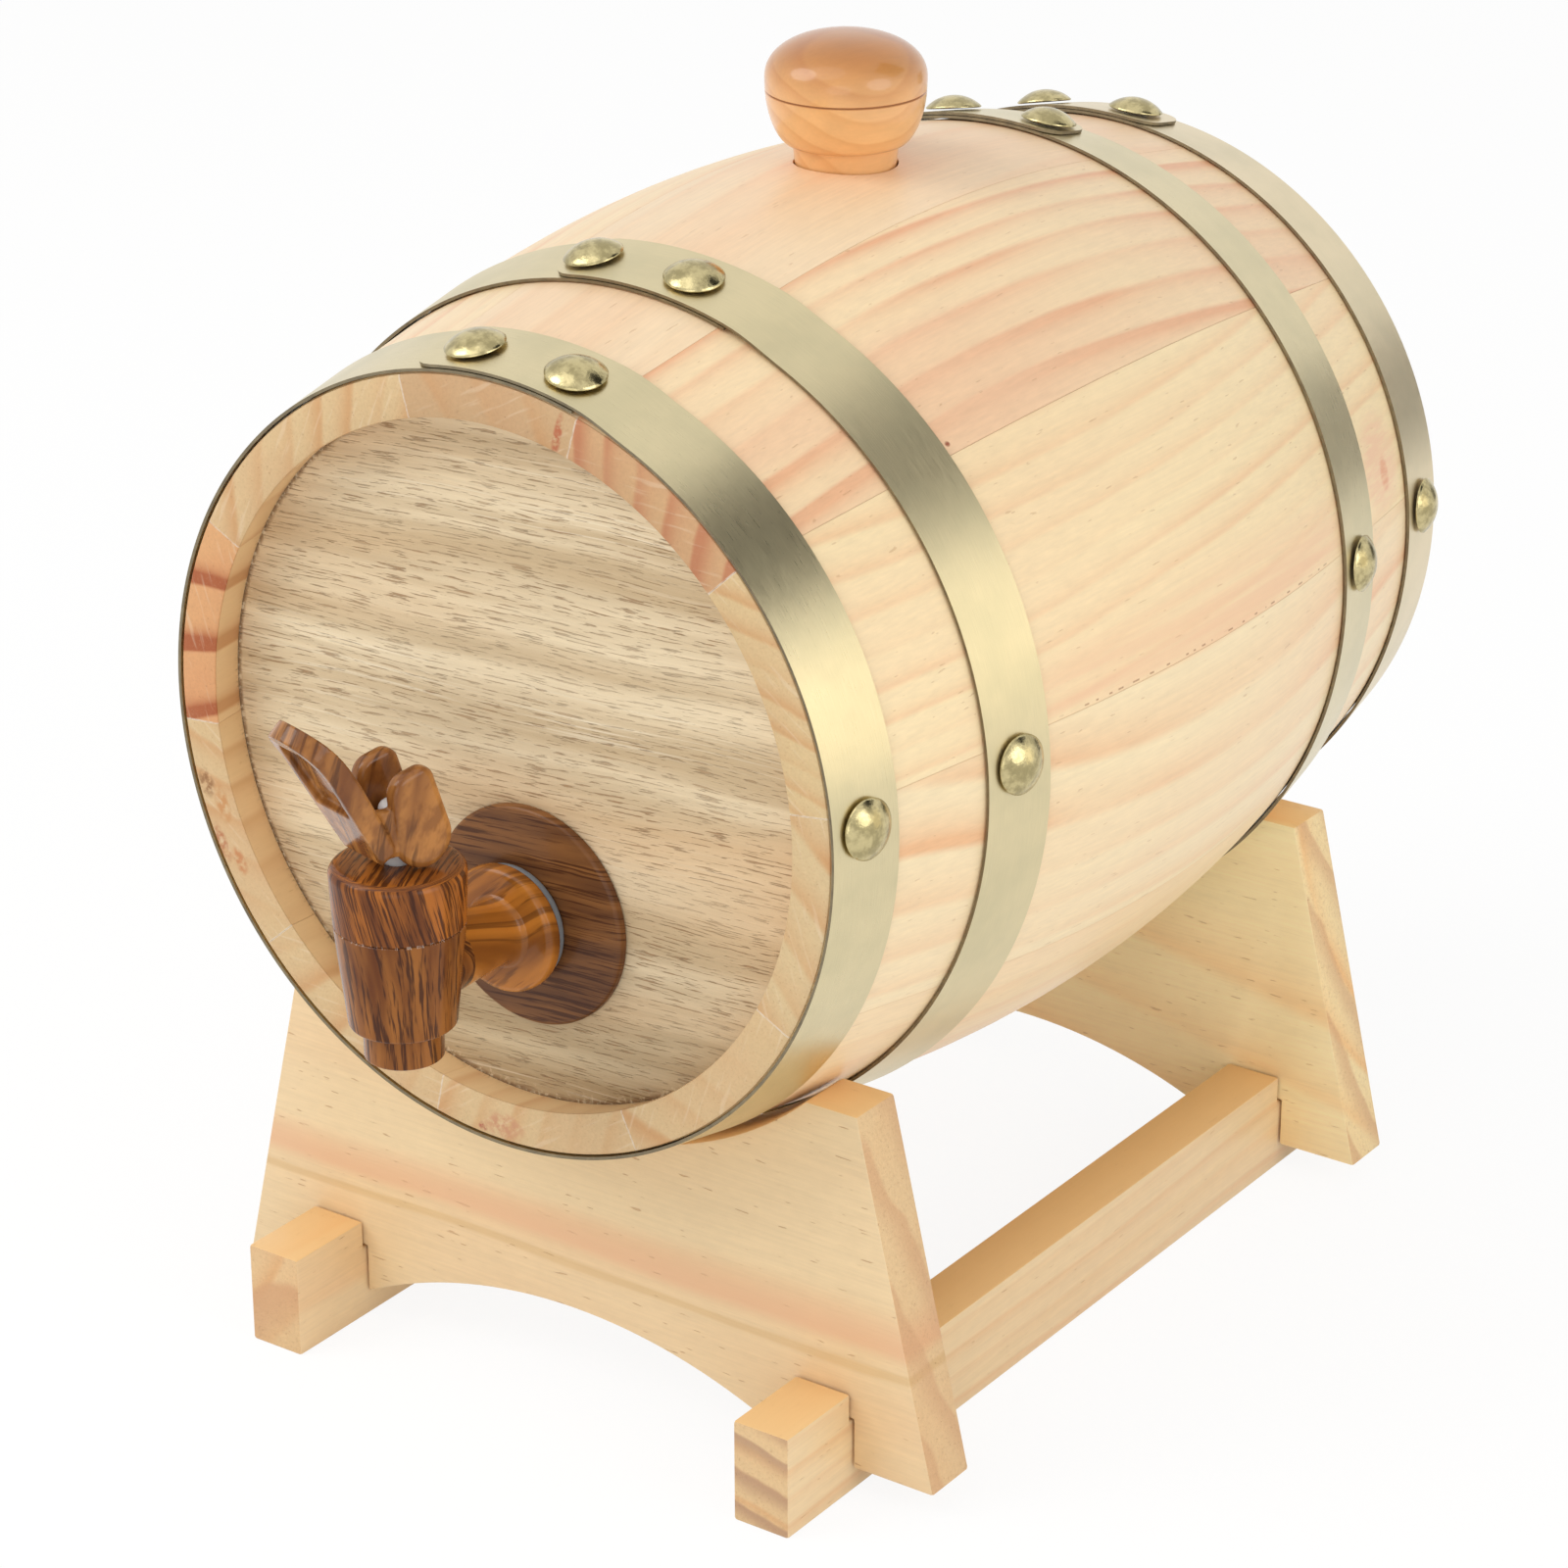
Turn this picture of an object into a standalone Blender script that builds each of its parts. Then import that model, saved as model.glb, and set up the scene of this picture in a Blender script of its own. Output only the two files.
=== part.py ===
# Small wooden aging barrel with a tap and a bung, lying on a two-board stand.
# Metres, +Z up. The barrel lies along Y and its tap points towards -Y.
# Angles round the barrel are in degrees from its top, positive towards +X.

from math import acos, asin, atan, atan2, ceil, cos, degrees, pi, radians, sin, sqrt

import bmesh
import bpy
from mathutils import Matrix, Vector

# Clearances
SEAT_GAP = 0.0003
STAVE_GAP = 0.0002
LAP_GAP = 0.00015
CUT_REACH = 0.002

# Barrel
BARREL_LENGTH = 0.185
BILGE_RADIUS = 0.0752
CHIME_RADIUS = 0.0631
BEND_LENGTH = 0.100
AXIS_HEIGHT = 0.1171
STAVE_THICKNESS = 0.007
STAVE_STEP = 9.0
FIRST_JOINT = -14.4
STAVE_WIDTHS = (30.9, 30.9, 35.6, 35.0, 37.0, 37.0, 37.0, 36.0, 33.0, 47.6)

# Heads, set in a groove inside the staves
HEAD_RECESS = 0.007
HEAD_THICKNESS = 0.006
GROOVE_DEPTH = 0.0025
ROUND_STEPS = 56

# Hoops: the hoop's strip laps over itself under the two top nails
HOOP_WIDTH = 0.0135
HOOP_THICKNESS = 0.0005
QUARTER_HOOP_INSET = 0.03945
LAP_TURN = 28.0
LAP_RAMP = 9.0
HOOP_END_RADIUS = 0.0045
HOOP_STEP = 7.2
FRONT_HEAD_LAP = -12.4
FRONT_QUARTER_LAP = -10.5
REAR_QUARTER_LAP = 9.7
REAR_HEAD_LAP = 9.9

# Hoop nails
NAIL_HEAD_RADIUS = 0.0048
NAIL_HEAD_HEIGHT = 0.0023
NAIL_SHANK_RADIUS = 0.0009
NAIL_DEPTH = 0.0040
NAIL_STEPS = 12
SIDE_NAIL_ANGLE = 86.0
FRONT_HEAD_NAILS = (-5.1, 11.4)
FRONT_QUARTER_NAILS = (-6.8, 8.6)
REAR_QUARTER_NAILS = (-9.7, 5.7)
REAR_HEAD_NAILS = (-12.4, 4.1)

# Bung
BUNG_PLACE = 0.003
BUNG_NECK_RADIUS = 0.00865
BUNG_NECK_HEIGHT = 0.0028
BUNG_FOOT_RADIUS = 0.0072
BUNG_PLUG_DEPTH = 0.012
BUNG_COLLAR_RADIUS = 0.0093
BUNG_RADIUS = 0.0132
BUNG_WIDE_HEIGHT = 0.0136
BUNG_HEIGHT = 0.0210
BUNG_GROOVE_HEIGHT = 0.0116
BUNG_GROOVE_DEPTH = 0.0004
BUNG_STEPS = 24

# Tap: the stem lies along Y, the body, cap and plunger stand on a vertical axis in front
TAP_DROP = 0.0268
TAP_REACH = 0.0229
ROSETTE_RADIUS = 0.0183
ROSETTE_THICKNESS = 0.0015
ROSETTE_SHIFT = (0.0020, 0.0012)
WASHER_RADIUS = 0.0098
WASHER_THICKNESS = 0.0013
FLANGE_RADIUS = 0.0105
FLANGE_THICKNESS = 0.0030
FLANGE_EDGE = 0.0009
SHANK_RADIUS = 0.0055
SHANK_OVERHANG = 0.0020
NUT_RADIUS = 0.0095
NUT_THICKNESS = 0.0060
STEM_RADIUS = 0.0050
STEM_BODY_RADIUS = 0.0067
STEM_BORE_RADIUS = 0.0028
BODY_TOP_HEIGHT = 0.0105
BODY_TOP_RADIUS = 0.0102
BODY_FOOT_HEIGHT = -0.0063
BODY_FOOT_RADIUS = 0.0084
BODY_BORE_RADIUS = 0.0069
BODY_SEAT_HEIGHT = -0.0020
SPIGOT_HEIGHT = 0.0035
SPIGOT_WALL = 0.0012
NOZZLE_RADIUS = 0.0062
NOZZLE_FOOT_HEIGHT = -0.0118
OUTLET_RADIUS = 0.0042
CAP_HEIGHT = 0.0100
CAP_RADIUS = 0.01055
CAP_EDGE_RADIUS = 0.0020
CAP_PLATE = 0.0030
TAP_STEPS = 24

# Plunger with its soft seal
PLUNGER_RADIUS = 0.0020
PLUNGER_HEAD_RADIUS = 0.0026
PLUNGER_HEAD_HEIGHT = 0.0099
CROSS_BAR_RADIUS = 0.0013
SEAL_RADIUS = 0.0060
SEAL_THICKNESS = 0.0032
SEAL_SOCKET_DEPTH = 0.0016

# Lever: a leaning paddle, a web behind it and two round ears beside the plunger
LEVER_TURN = 15.5
LEVER_TILT = 45.0
PIVOT_HEIGHT = 0.0042
LEVER_WIDTH = 0.0122
EAR_THICKNESS = 0.0030
EAR_LOW_RADIUS = 0.0048
EAR_LOW_CENTRE = (0.0015, 0.0051)
EAR_HIGH_RADIUS = 0.0039
EAR_HIGH_CENTRE = (-0.0001, 0.0124)
PADDLE_FOOT = (-0.0048, 0.0032)
PADDLE_FOOT_WIDTH = 0.0104
PADDLE_LEAN = 29.5
PADDLE_STRAIGHT = 0.0170
PADDLE_CURVED = 0.0101
PADDLE_BEND = 16.0
PADDLE_THICKNESS = 0.0030
PADDLE_SWELL = 0.0008
PADDLE_RIM = 0.0015
PADDLE_HOLLOW = 0.0010
PADDLE_HOLLOW_START = 0.0110
WEB_WIDTH = 0.0098
WEB_TOP = 0.0099
WEB_FOOT = 0.0031

# Stand: two boards notched over two rails, set in from the barrel's ends
BOARD_THICKNESS = 0.0104
FRONT_BOARD_INSET = 0.01744
REAR_BOARD_INSET = 0.02094
BOARD_TOP_DROP = 0.0501
BOARD_TOP_HALF = 0.0561
BOARD_FOOT = 0.00445
BOARD_FOOT_HALF = 0.0709
ARCH_HALF = 0.0446
ARCH_TOP = 0.0154
RAIL_WIDTH = 0.0105
RAIL_HEIGHT = 0.0180
RAIL_PLACE = 0.05005
RAIL_OVERHANG = 0.0175
NOTCH_DEPTH = 0.0050
ARC_STEPS = 14

BARREL_HALF = BARREL_LENGTH / 2
BEND_HALF = BEND_LENGTH / 2
HEAD_FACE = BARREL_HALF - HEAD_RECESS
QUARTER_HOOP_PLACE = BARREL_HALF - QUARTER_HOOP_INSET
LEVER_HALF = LEVER_WIDTH / 2
CAP_TOP = BODY_TOP_HEIGHT + CAP_HEIGHT
FRONT_BOARD_FACE = FRONT_BOARD_INSET - BARREL_HALF
REAR_BOARD_FACE = BARREL_HALF - REAR_BOARD_INSET
BOARD_TOP = AXIS_HEIGHT - BOARD_TOP_DROP


def stave_radius(y):
    """Outer radius of the wood at y from the barrel's middle: a bent middle and straight ends."""
    bent = min(abs(y), BEND_HALF)
    drop = bent**2 / 2 + bent * (abs(y) - bent)
    whole = BEND_HALF**2 / 2 + BEND_HALF * (BARREL_HALF - BEND_HALF)
    return BILGE_RADIUS - (BILGE_RADIUS - CHIME_RADIUS) * drop / whole


def wall_radius(y):
    return stave_radius(y) - STAVE_THICKNESS


def slope_at(y):
    """Angle in radians by which the wood leans at y, signed so that it turns a +Z piece square to it."""
    step = BARREL_LENGTH / 1000
    return atan((stave_radius(y + step) - stave_radius(y - step)) / (2 * step))


def arc(centre, radius, start, end, steps):
    """Points of a round stretch in a plane, from one angle in degrees to another."""
    angles = [radians(start + (end - start) * i / steps) for i in range(steps + 1)]
    return [(centre[0] + radius * cos(a), centre[1] + radius * sin(a)) for a in angles]


def paddle_point(along):
    """Place in the lever's plane, and lean in radians, of the paddle's middle line."""
    straight = min(along, PADDLE_STRAIGHT)
    lean = radians(PADDLE_LEAN)
    y = PADDLE_FOOT[0] - straight * sin(lean)
    z = PADDLE_FOOT[1] + straight * cos(lean)
    if along > PADDLE_STRAIGHT:
        bend_radius = PADDLE_CURVED / radians(PADDLE_BEND)
        more = (along - PADDLE_STRAIGHT) / bend_radius
        y -= bend_radius * (cos(lean) - cos(lean + more))
        z += bend_radius * (sin(lean + more) - sin(lean))
        lean += more
    return y, z, lean


def paddle_half(along):
    """Half of the paddle's width: it widens from its foot, and its tip is round."""
    share = min(along / PADDLE_STRAIGHT, 1)
    half = (PADDLE_FOOT_WIDTH + (LEVER_WIDTH - PADDLE_FOOT_WIDTH) * share) / 2
    short = LEVER_HALF - min(PADDLE_STRAIGHT + PADDLE_CURVED - along, LEVER_HALF)
    tip = sqrt(max(LEVER_HALF**2 - short**2, (LEVER_HALF / 5) ** 2))
    return min(half, tip)


def lever_reach():
    """How far the lever's front edge lies before the tap's axis."""
    turn = radians(LEVER_TURN)
    reach = 0
    for i in range(101):
        along = (PADDLE_STRAIGHT + PADDLE_CURVED) * i / 100
        y, z, lean = paddle_point(along)
        front = PADDLE_THICKNESS / 2 * cos(lean) - y
        reach = max(reach, front * cos(turn) + paddle_half(along) * sin(turn))
    return reach


TAP_PLACE = -(BARREL_HALF + TAP_REACH)
REAR_REACH = max(BARREL_HALF, REAR_BOARD_FACE + RAIL_OVERHANG)
BARREL_MIDDLE = (lever_reach() - TAP_PLACE - REAR_REACH) / 2


def make_material(name, colour, roughness, metallic=0.0):
    material = bpy.data.materials.new(name)
    material.use_nodes = True
    shader = material.node_tree.nodes["Principled BSDF"]
    shader.inputs["Base Color"].default_value = (*colour, 1)
    shader.inputs["Roughness"].default_value = roughness
    shader.inputs["Metallic"].default_value = metallic
    material.diffuse_color = (*colour, 1)
    return material


def make_empty(name, location, parent=None):
    empty = bpy.data.objects.new(name, None)
    empty.location = location
    empty.empty_display_size = 0.01
    empty.parent = parent
    bpy.context.collection.objects.link(empty)
    return empty


def make_object(name, bm, parent, material=None, location=(0, 0, 0), rotation=(0, 0, 0)):
    """Turns a bmesh into an object. One with no material is a cutter."""
    bmesh.ops.recalc_face_normals(bm, faces=bm.faces[:])
    mesh = bpy.data.meshes.new(name)
    bm.to_mesh(mesh)
    bm.free()
    mesh.shade_smooth()
    mesh.set_sharp_from_angle(angle=radians(35))
    piece = bpy.data.objects.new(name, mesh)
    piece.location = location
    piece.rotation_euler = rotation
    piece.parent = parent
    bpy.context.collection.objects.link(piece)
    if material:
        mesh.materials.append(material)
    else:
        piece.hide_render = True
        piece.display_type = "WIRE"
    return piece


def combine(piece, other, operation="DIFFERENCE"):
    modifier = piece.modifiers.new(other.name, "BOOLEAN")
    modifier.operation = operation
    modifier.object = other


def turned(profile, steps, closed=False):
    """Solid of revolution about Z from points of radius and height."""
    bm = bmesh.new()
    verts = [bm.verts.new((radius, 0, height)) for radius, height in profile]
    pairs = list(zip(verts, verts[1:]))
    if closed:
        pairs.append((verts[-1], verts[0]))
    edges = [bm.edges.new(pair) for pair in pairs]
    bmesh.ops.spin(
        bm,
        geom=verts + edges,
        cent=(0, 0, 0),
        axis=(0, 0, 1),
        angle=2 * pi,
        steps=steps,
        use_merge=True,
    )
    bmesh.ops.remove_doubles(bm, verts=bm.verts[:], dist=1e-6)
    return bm


def extruded(outline, start, end, place):
    """Prism of an outline: place gives a point from the outline's two values and a distance."""
    bm = bmesh.new()
    face = bm.faces.new([bm.verts.new(place(a, b, start)) for a, b in outline])
    made = bmesh.ops.extrude_face_region(bm, geom=[face])["geom"]
    moved = [item for item in made if isinstance(item, bmesh.types.BMVert)]
    across = Vector(place(0, 0, end)) - Vector(place(0, 0, start))
    bmesh.ops.translate(bm, vec=across, verts=moved)
    return bm


def bridged(rings):
    """Solid through rings of points, closed with a face at both ends."""
    bm = bmesh.new()
    loops = [[bm.verts.new(point) for point in ring] for ring in rings]
    for first, second in zip(loops, loops[1:]):
        for i in range(len(first)):
            bm.faces.new((first[i - 1], first[i], second[i], second[i - 1]))
    bm.faces.new(loops[0])
    bm.faces.new(loops[-1])
    return bm


def ring_along_y(radius, y, height, steps):
    angles = [2 * pi * i / steps for i in range(steps)]
    return [(radius * cos(angle), y, height + radius * sin(angle)) for angle in angles]


def make_disc(name, radius, thickness, steps, parent, material, location):
    """Flat disc that lies square to Y, with its front face at its origin."""
    bm = turned([(0, 0), (radius, 0), (radius, -thickness), (0, -thickness)], steps)
    return make_object(name, bm, parent, material, location, (pi / 2, 0, 0))


def stave_section():
    """Closed outline of a stave, cut lengthwise, as pairs of y and radius."""
    bend = [BEND_HALF * i / 4 for i in range(-4, 5)]
    outer = [(y, stave_radius(y)) for y in [-BARREL_HALF, *bend, BARREL_HALF]]
    groove_front = HEAD_FACE + STAVE_GAP
    groove_back = HEAD_FACE - HEAD_THICKNESS - STAVE_GAP
    groove_radius = wall_radius(HEAD_FACE) + GROOVE_DEPTH
    half = [
        (BARREL_HALF, wall_radius(BARREL_HALF)),
        (groove_front, wall_radius(groove_front)),
        (groove_front, groove_radius),
        (groove_back, groove_radius),
        (groove_back, wall_radius(groove_back)),
        (BEND_HALF, wall_radius(BEND_HALF)),
        (BEND_HALF / 2, wall_radius(BEND_HALF / 2)),
    ]
    middle = [(0, wall_radius(0))]
    return outer + half + middle + [(-y, radius) for y, radius in reversed(half)]


def make_stave(name, start, width, parent, material):
    """One stave, from its first joint's angle round by its width."""
    gap = degrees(STAVE_GAP / (2 * wall_radius(BARREL_HALF)))
    half = radians(width / 2 - gap)
    bm = bmesh.new()
    verts = [bm.verts.new((0, y, radius)) for y, radius in stave_section()]
    bmesh.ops.rotate(bm, cent=(0, 0, 0), matrix=Matrix.Rotation(-half, 3, "Y"), verts=verts)
    face = bm.faces.new(verts)
    geom = [face, *face.edges, *verts]
    steps = ceil(width / STAVE_STEP)
    bmesh.ops.spin(bm, geom=geom, cent=(0, 0, 0), axis=(0, 1, 0), angle=2 * half, steps=steps)
    return make_object(name, bm, parent, material, rotation=(0, radians(start + width / 2), 0))


def make_head(name, front_face, parent, material):
    radius = wall_radius(HEAD_FACE) + GROOVE_DEPTH - SEAT_GAP
    return make_disc(name, radius, HEAD_THICKNESS, ROUND_STEPS, parent, material, (0, front_face, 0))


def make_hoop(name, middle, lap_angle, direction, parent, material):
    """Strip bent once round the barrel. Its outer end starts at lap_angle and lies over its inner end."""
    radius = stave_radius(middle) + SEAT_GAP
    end_steps = [HOOP_END_RADIUS * share for share in (0, 0.12, 0.35, 0.65, 1)]
    angles = [degrees(step / radius) for step in end_steps]
    count = round((360 + LAP_TURN - angles[-1]) / HOOP_STEP)
    rest = (360 + LAP_TURN - angles[-1]) / count
    angles += [angles[-1] + rest * (i + 1) for i in range(count)]
    step_up = HOOP_THICKNESS + LAP_GAP
    bm = bmesh.new()
    bmesh.ops.create_grid(bm, x_segments=len(angles) - 1, y_segments=1, size=1)
    verts = sorted(bm.verts, key=lambda vert: (round(vert.co.x, 5), vert.co.y))
    for i, vert in enumerate(verts):
        turn = angles[i // 2]
        along = radians(turn) * radius
        corner = HOOP_END_RADIUS - min(along, HOOP_END_RADIUS)
        half = HOOP_WIDTH / 2 - HOOP_END_RADIUS + sqrt(HOOP_END_RADIUS**2 - corner**2)
        over = min(max((LAP_TURN + LAP_RAMP - turn) / LAP_RAMP, 0), 1)
        y = middle + (half if i % 2 else -half)
        edge = middle + (HOOP_WIDTH / 2 if i % 2 else -HOOP_WIDTH / 2)
        lean = (stave_radius(middle + HOOP_WIDTH / 2) - stave_radius(middle - HOOP_WIDTH / 2)) / HOOP_WIDTH
        far = max(stave_radius(edge), radius - SEAT_GAP + lean * (edge - middle))
        out = far + lean * (y - edge) + SEAT_GAP + step_up * over
        angle = radians(lap_angle + direction * turn)
        vert.co = (out * sin(angle), y, out * cos(angle))
    for face in bm.faces:
        face.normal_update()
        if face.normal.dot(face.calc_center_median() - Vector((0, middle, 0))) < 0:
            face.normal_flip()
    mesh = bpy.data.meshes.new(name)
    bm.to_mesh(mesh)
    bm.free()
    mesh.shade_smooth()
    mesh.materials.append(material)
    hoop = bpy.data.objects.new(name, mesh)
    hoop.parent = parent
    bpy.context.collection.objects.link(hoop)
    solidify = hoop.modifiers.new("strip thickness", "SOLIDIFY")
    solidify.thickness = HOOP_THICKNESS
    solidify.offset = 1
    return hoop


def make_nail(name, y, angle, on_lap, hoop, stave, parent, material):
    """Domed nail square to the wood, with its holes through the hoop and into the stave."""
    sheets = 2 * HOOP_THICKNESS + LAP_GAP if on_lap else HOOP_THICKNESS
    seat = sheets + 2 * SEAT_GAP
    dome_radius = (NAIL_HEAD_RADIUS**2 + NAIL_HEAD_HEIGHT**2) / (2 * NAIL_HEAD_HEIGHT)
    opening = degrees(asin(NAIL_HEAD_RADIUS / dome_radius))
    dome = arc((0, seat + NAIL_HEAD_HEIGHT - dome_radius), dome_radius, 90, 90 - opening, 4)
    shank = [(NAIL_SHANK_RADIUS, seat), (NAIL_SHANK_RADIUS, -NAIL_DEPTH), (0, -NAIL_DEPTH)]
    turn = radians(angle)
    radius = stave_radius(y)
    place = (radius * sin(turn), y, radius * cos(turn))
    rotation = (slope_at(y), turn, 0)
    nail = make_object(name, turned(dome + shank, NAIL_STEPS), parent, material, place, rotation)
    hole_radius = NAIL_SHANK_RADIUS + SEAT_GAP
    foot = -NAIL_DEPTH - SEAT_GAP
    hole = turned([(0, foot), (hole_radius, foot), (hole_radius, CUT_REACH), (0, CUT_REACH)], NAIL_STEPS)
    cutter = make_object(name + "_hole", hole, parent, None, place, rotation)
    combine(hoop, cutter)
    combine(stave, cutter)
    return nail


def bung_side(height):
    """Radius of the bung's swelling side at a height from the barrel's top."""
    share = (height - BUNG_NECK_HEIGHT) / (BUNG_WIDE_HEIGHT - BUNG_NECK_HEIGHT)
    return BUNG_COLLAR_RADIUS + (BUNG_RADIUS - BUNG_COLLAR_RADIUS) * sin(share * pi / 2)


def bung_profile():
    """Outline of the bung from its foot to its crown, with heights from the barrel's top."""
    profile = [(0, -BUNG_PLUG_DEPTH), (BUNG_FOOT_RADIUS, -BUNG_PLUG_DEPTH)]
    profile += [(BUNG_NECK_RADIUS, BUNG_NECK_HEIGHT)]
    groove_low = BUNG_GROOVE_HEIGHT - BUNG_GROOVE_DEPTH
    groove_high = BUNG_GROOVE_HEIGHT + BUNG_GROOVE_DEPTH
    rise = groove_low - BUNG_NECK_HEIGHT
    heights = [BUNG_NECK_HEIGHT + rise * i / 5 for i in range(6)]
    profile += [(bung_side(height), height) for height in heights]
    profile.append((bung_side(BUNG_GROOVE_HEIGHT) - BUNG_GROOVE_DEPTH, BUNG_GROOVE_HEIGHT))
    profile.append((bung_side(groove_high), groove_high))
    crown = BUNG_HEIGHT - BUNG_WIDE_HEIGHT
    for i in range(7):
        share = sin(i / 6 * pi / 2)
        rounded = max(1 - share**2.2, 0) ** (1 / 2.2)
        profile.append((BUNG_RADIUS * rounded, BUNG_WIDE_HEIGHT + crown * share))
    return profile


def make_bung(stave, parent, material):
    place = (0, BUNG_PLACE, stave_radius(BUNG_PLACE))
    bung = make_object("bung", turned(bung_profile(), BUNG_STEPS), parent, material, place)
    taper = (BUNG_NECK_RADIUS - BUNG_FOOT_RADIUS) / (BUNG_NECK_HEIGHT + BUNG_PLUG_DEPTH)
    foot = -BUNG_PLUG_DEPTH - CUT_REACH
    low = BUNG_FOOT_RADIUS + SEAT_GAP - taper * CUT_REACH
    high = BUNG_NECK_RADIUS + SEAT_GAP
    hole = turned([(0, foot), (low, foot), (high, BUNG_NECK_HEIGHT), (0, BUNG_NECK_HEIGHT)], BUNG_STEPS)
    combine(stave, make_object("bung_hole", hole, parent, None, place))
    return bung


def make_tap_fixing(head, stem, materials):
    """What clamps the tap to the head: rosette and washer outside, washer and lock nut inside."""
    rosette_face = -HEAD_FACE - SEAT_GAP - ROSETTE_THICKNESS
    washer_face = rosette_face - SEAT_GAP - WASHER_THICKNESS
    flange_back = washer_face - SEAT_GAP
    inner_face = -HEAD_FACE + HEAD_THICKNESS + SEAT_GAP
    nut_face = inner_face + WASHER_THICKNESS + SEAT_GAP
    nut_back = nut_face + NUT_THICKNESS
    rosette_place = (ROSETTE_SHIFT[0], rosette_face, ROSETTE_SHIFT[1])
    discs = (
        ("tap_rosette", ROSETTE_RADIUS, ROSETTE_THICKNESS, ROUND_STEPS, "tap", rosette_place),
        ("outer_washer", WASHER_RADIUS, WASHER_THICKNESS, TAP_STEPS, "washers", (0, washer_face, 0)),
        ("inner_washer", WASHER_RADIUS, WASHER_THICKNESS, TAP_STEPS, "washers", (0, inner_face, 0)),
        ("lock_nut", NUT_RADIUS, NUT_THICKNESS, 6, "lock_nut", (0, nut_face, 0)),
    )
    hole = SHANK_RADIUS + SEAT_GAP
    rings = [ring_along_y(hole, y, 0, TAP_STEPS) for y in (flange_back - CUT_REACH, nut_back + CUT_REACH)]
    tap_hole = make_object("tap_hole", bridged(rings), stem)
    combine(head, tap_hole)
    for name, radius, thickness, steps, material, place in discs:
        combine(make_disc(name, radius, thickness, steps, stem, materials[material], place), tap_hole)
    return flange_back, nut_back + SHANK_OVERHANG


def make_tap_body(flange_back, shank_end, stem, material):
    """Turned body with its nozzle, the stem that joins it to its flange, and the shank through the head."""
    axis_place = (0, TAP_PLACE, 0)
    spigot_radius = BODY_BORE_RADIUS + SPIGOT_WALL
    spigot_top = BODY_TOP_HEIGHT + SPIGOT_HEIGHT
    edge = (BODY_TOP_RADIUS - BODY_FOOT_RADIUS) / 2
    profile = [
        (0, NOZZLE_FOOT_HEIGHT),
        (NOZZLE_RADIUS, NOZZLE_FOOT_HEIGHT),
        (NOZZLE_RADIUS, BODY_FOOT_HEIGHT),
        (BODY_FOOT_RADIUS - edge, BODY_FOOT_HEIGHT),
        (BODY_FOOT_RADIUS, BODY_FOOT_HEIGHT + edge),
        (BODY_TOP_RADIUS, BODY_TOP_HEIGHT),
        (spigot_radius, BODY_TOP_HEIGHT),
        (spigot_radius, spigot_top),
        (0, spigot_top),
    ]
    body = make_object("tap_body", turned(profile, TAP_STEPS), stem, material, axis_place)
    flange_front = flange_back - FLANGE_THICKNESS
    rise = STEM_BODY_RADIUS - STEM_RADIUS
    rings = [
        ring_along_y(STEM_BODY_RADIUS, TAP_PLACE, rise, TAP_STEPS),
        ring_along_y(STEM_RADIUS, flange_front, 0, TAP_STEPS),
        ring_along_y(FLANGE_RADIUS - FLANGE_EDGE, flange_front, 0, TAP_STEPS),
        ring_along_y(FLANGE_RADIUS, flange_front + FLANGE_EDGE, 0, TAP_STEPS),
        ring_along_y(FLANGE_RADIUS, flange_back - FLANGE_EDGE, 0, TAP_STEPS),
        ring_along_y(FLANGE_RADIUS - FLANGE_EDGE, flange_back, 0, TAP_STEPS),
        ring_along_y(SHANK_RADIUS, flange_back, 0, TAP_STEPS),
        ring_along_y(SHANK_RADIUS, shank_end, 0, TAP_STEPS),
    ]
    combine(body, make_object("tap_stem", bridged(rings), stem), "UNION")
    bore = [
        (0, NOZZLE_FOOT_HEIGHT - CUT_REACH),
        (OUTLET_RADIUS, NOZZLE_FOOT_HEIGHT - CUT_REACH),
        (OUTLET_RADIUS, BODY_SEAT_HEIGHT),
        (BODY_BORE_RADIUS, BODY_SEAT_HEIGHT),
        (BODY_BORE_RADIUS, spigot_top + CUT_REACH),
        (0, spigot_top + CUT_REACH),
    ]
    combine(body, make_object("body_bore", turned(bore, TAP_STEPS), stem, None, axis_place))
    bore_rings = [
        ring_along_y(STEM_BORE_RADIUS, TAP_PLACE + OUTLET_RADIUS / 2, rise / 2, NAIL_STEPS),
        ring_along_y(STEM_BORE_RADIUS, shank_end + CUT_REACH, 0, NAIL_STEPS),
    ]
    combine(body, make_object("stem_bore", bridged(bore_rings), stem))
    return body


def make_cap(stem, material):
    """Cap over the body's spigot, with the plunger's hole in its top."""
    top = CAP_TOP
    seam = BODY_TOP_HEIGHT + SEAT_GAP
    inner = BODY_BORE_RADIUS + SPIGOT_WALL + SEAT_GAP
    hole = PLUNGER_RADIUS + SEAT_GAP
    edge = arc((CAP_RADIUS - CAP_EDGE_RADIUS, top - CAP_EDGE_RADIUS), CAP_EDGE_RADIUS, 0, 90, 4)
    profile = [(inner, seam), (BODY_TOP_RADIUS, seam), *edge, (hole, top), (hole, top - CAP_PLATE)]
    profile.append((inner, top - CAP_PLATE))
    return make_object("tap_cap", turned(profile, TAP_STEPS, closed=True), stem, material, (0, TAP_PLACE, 0))


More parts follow.
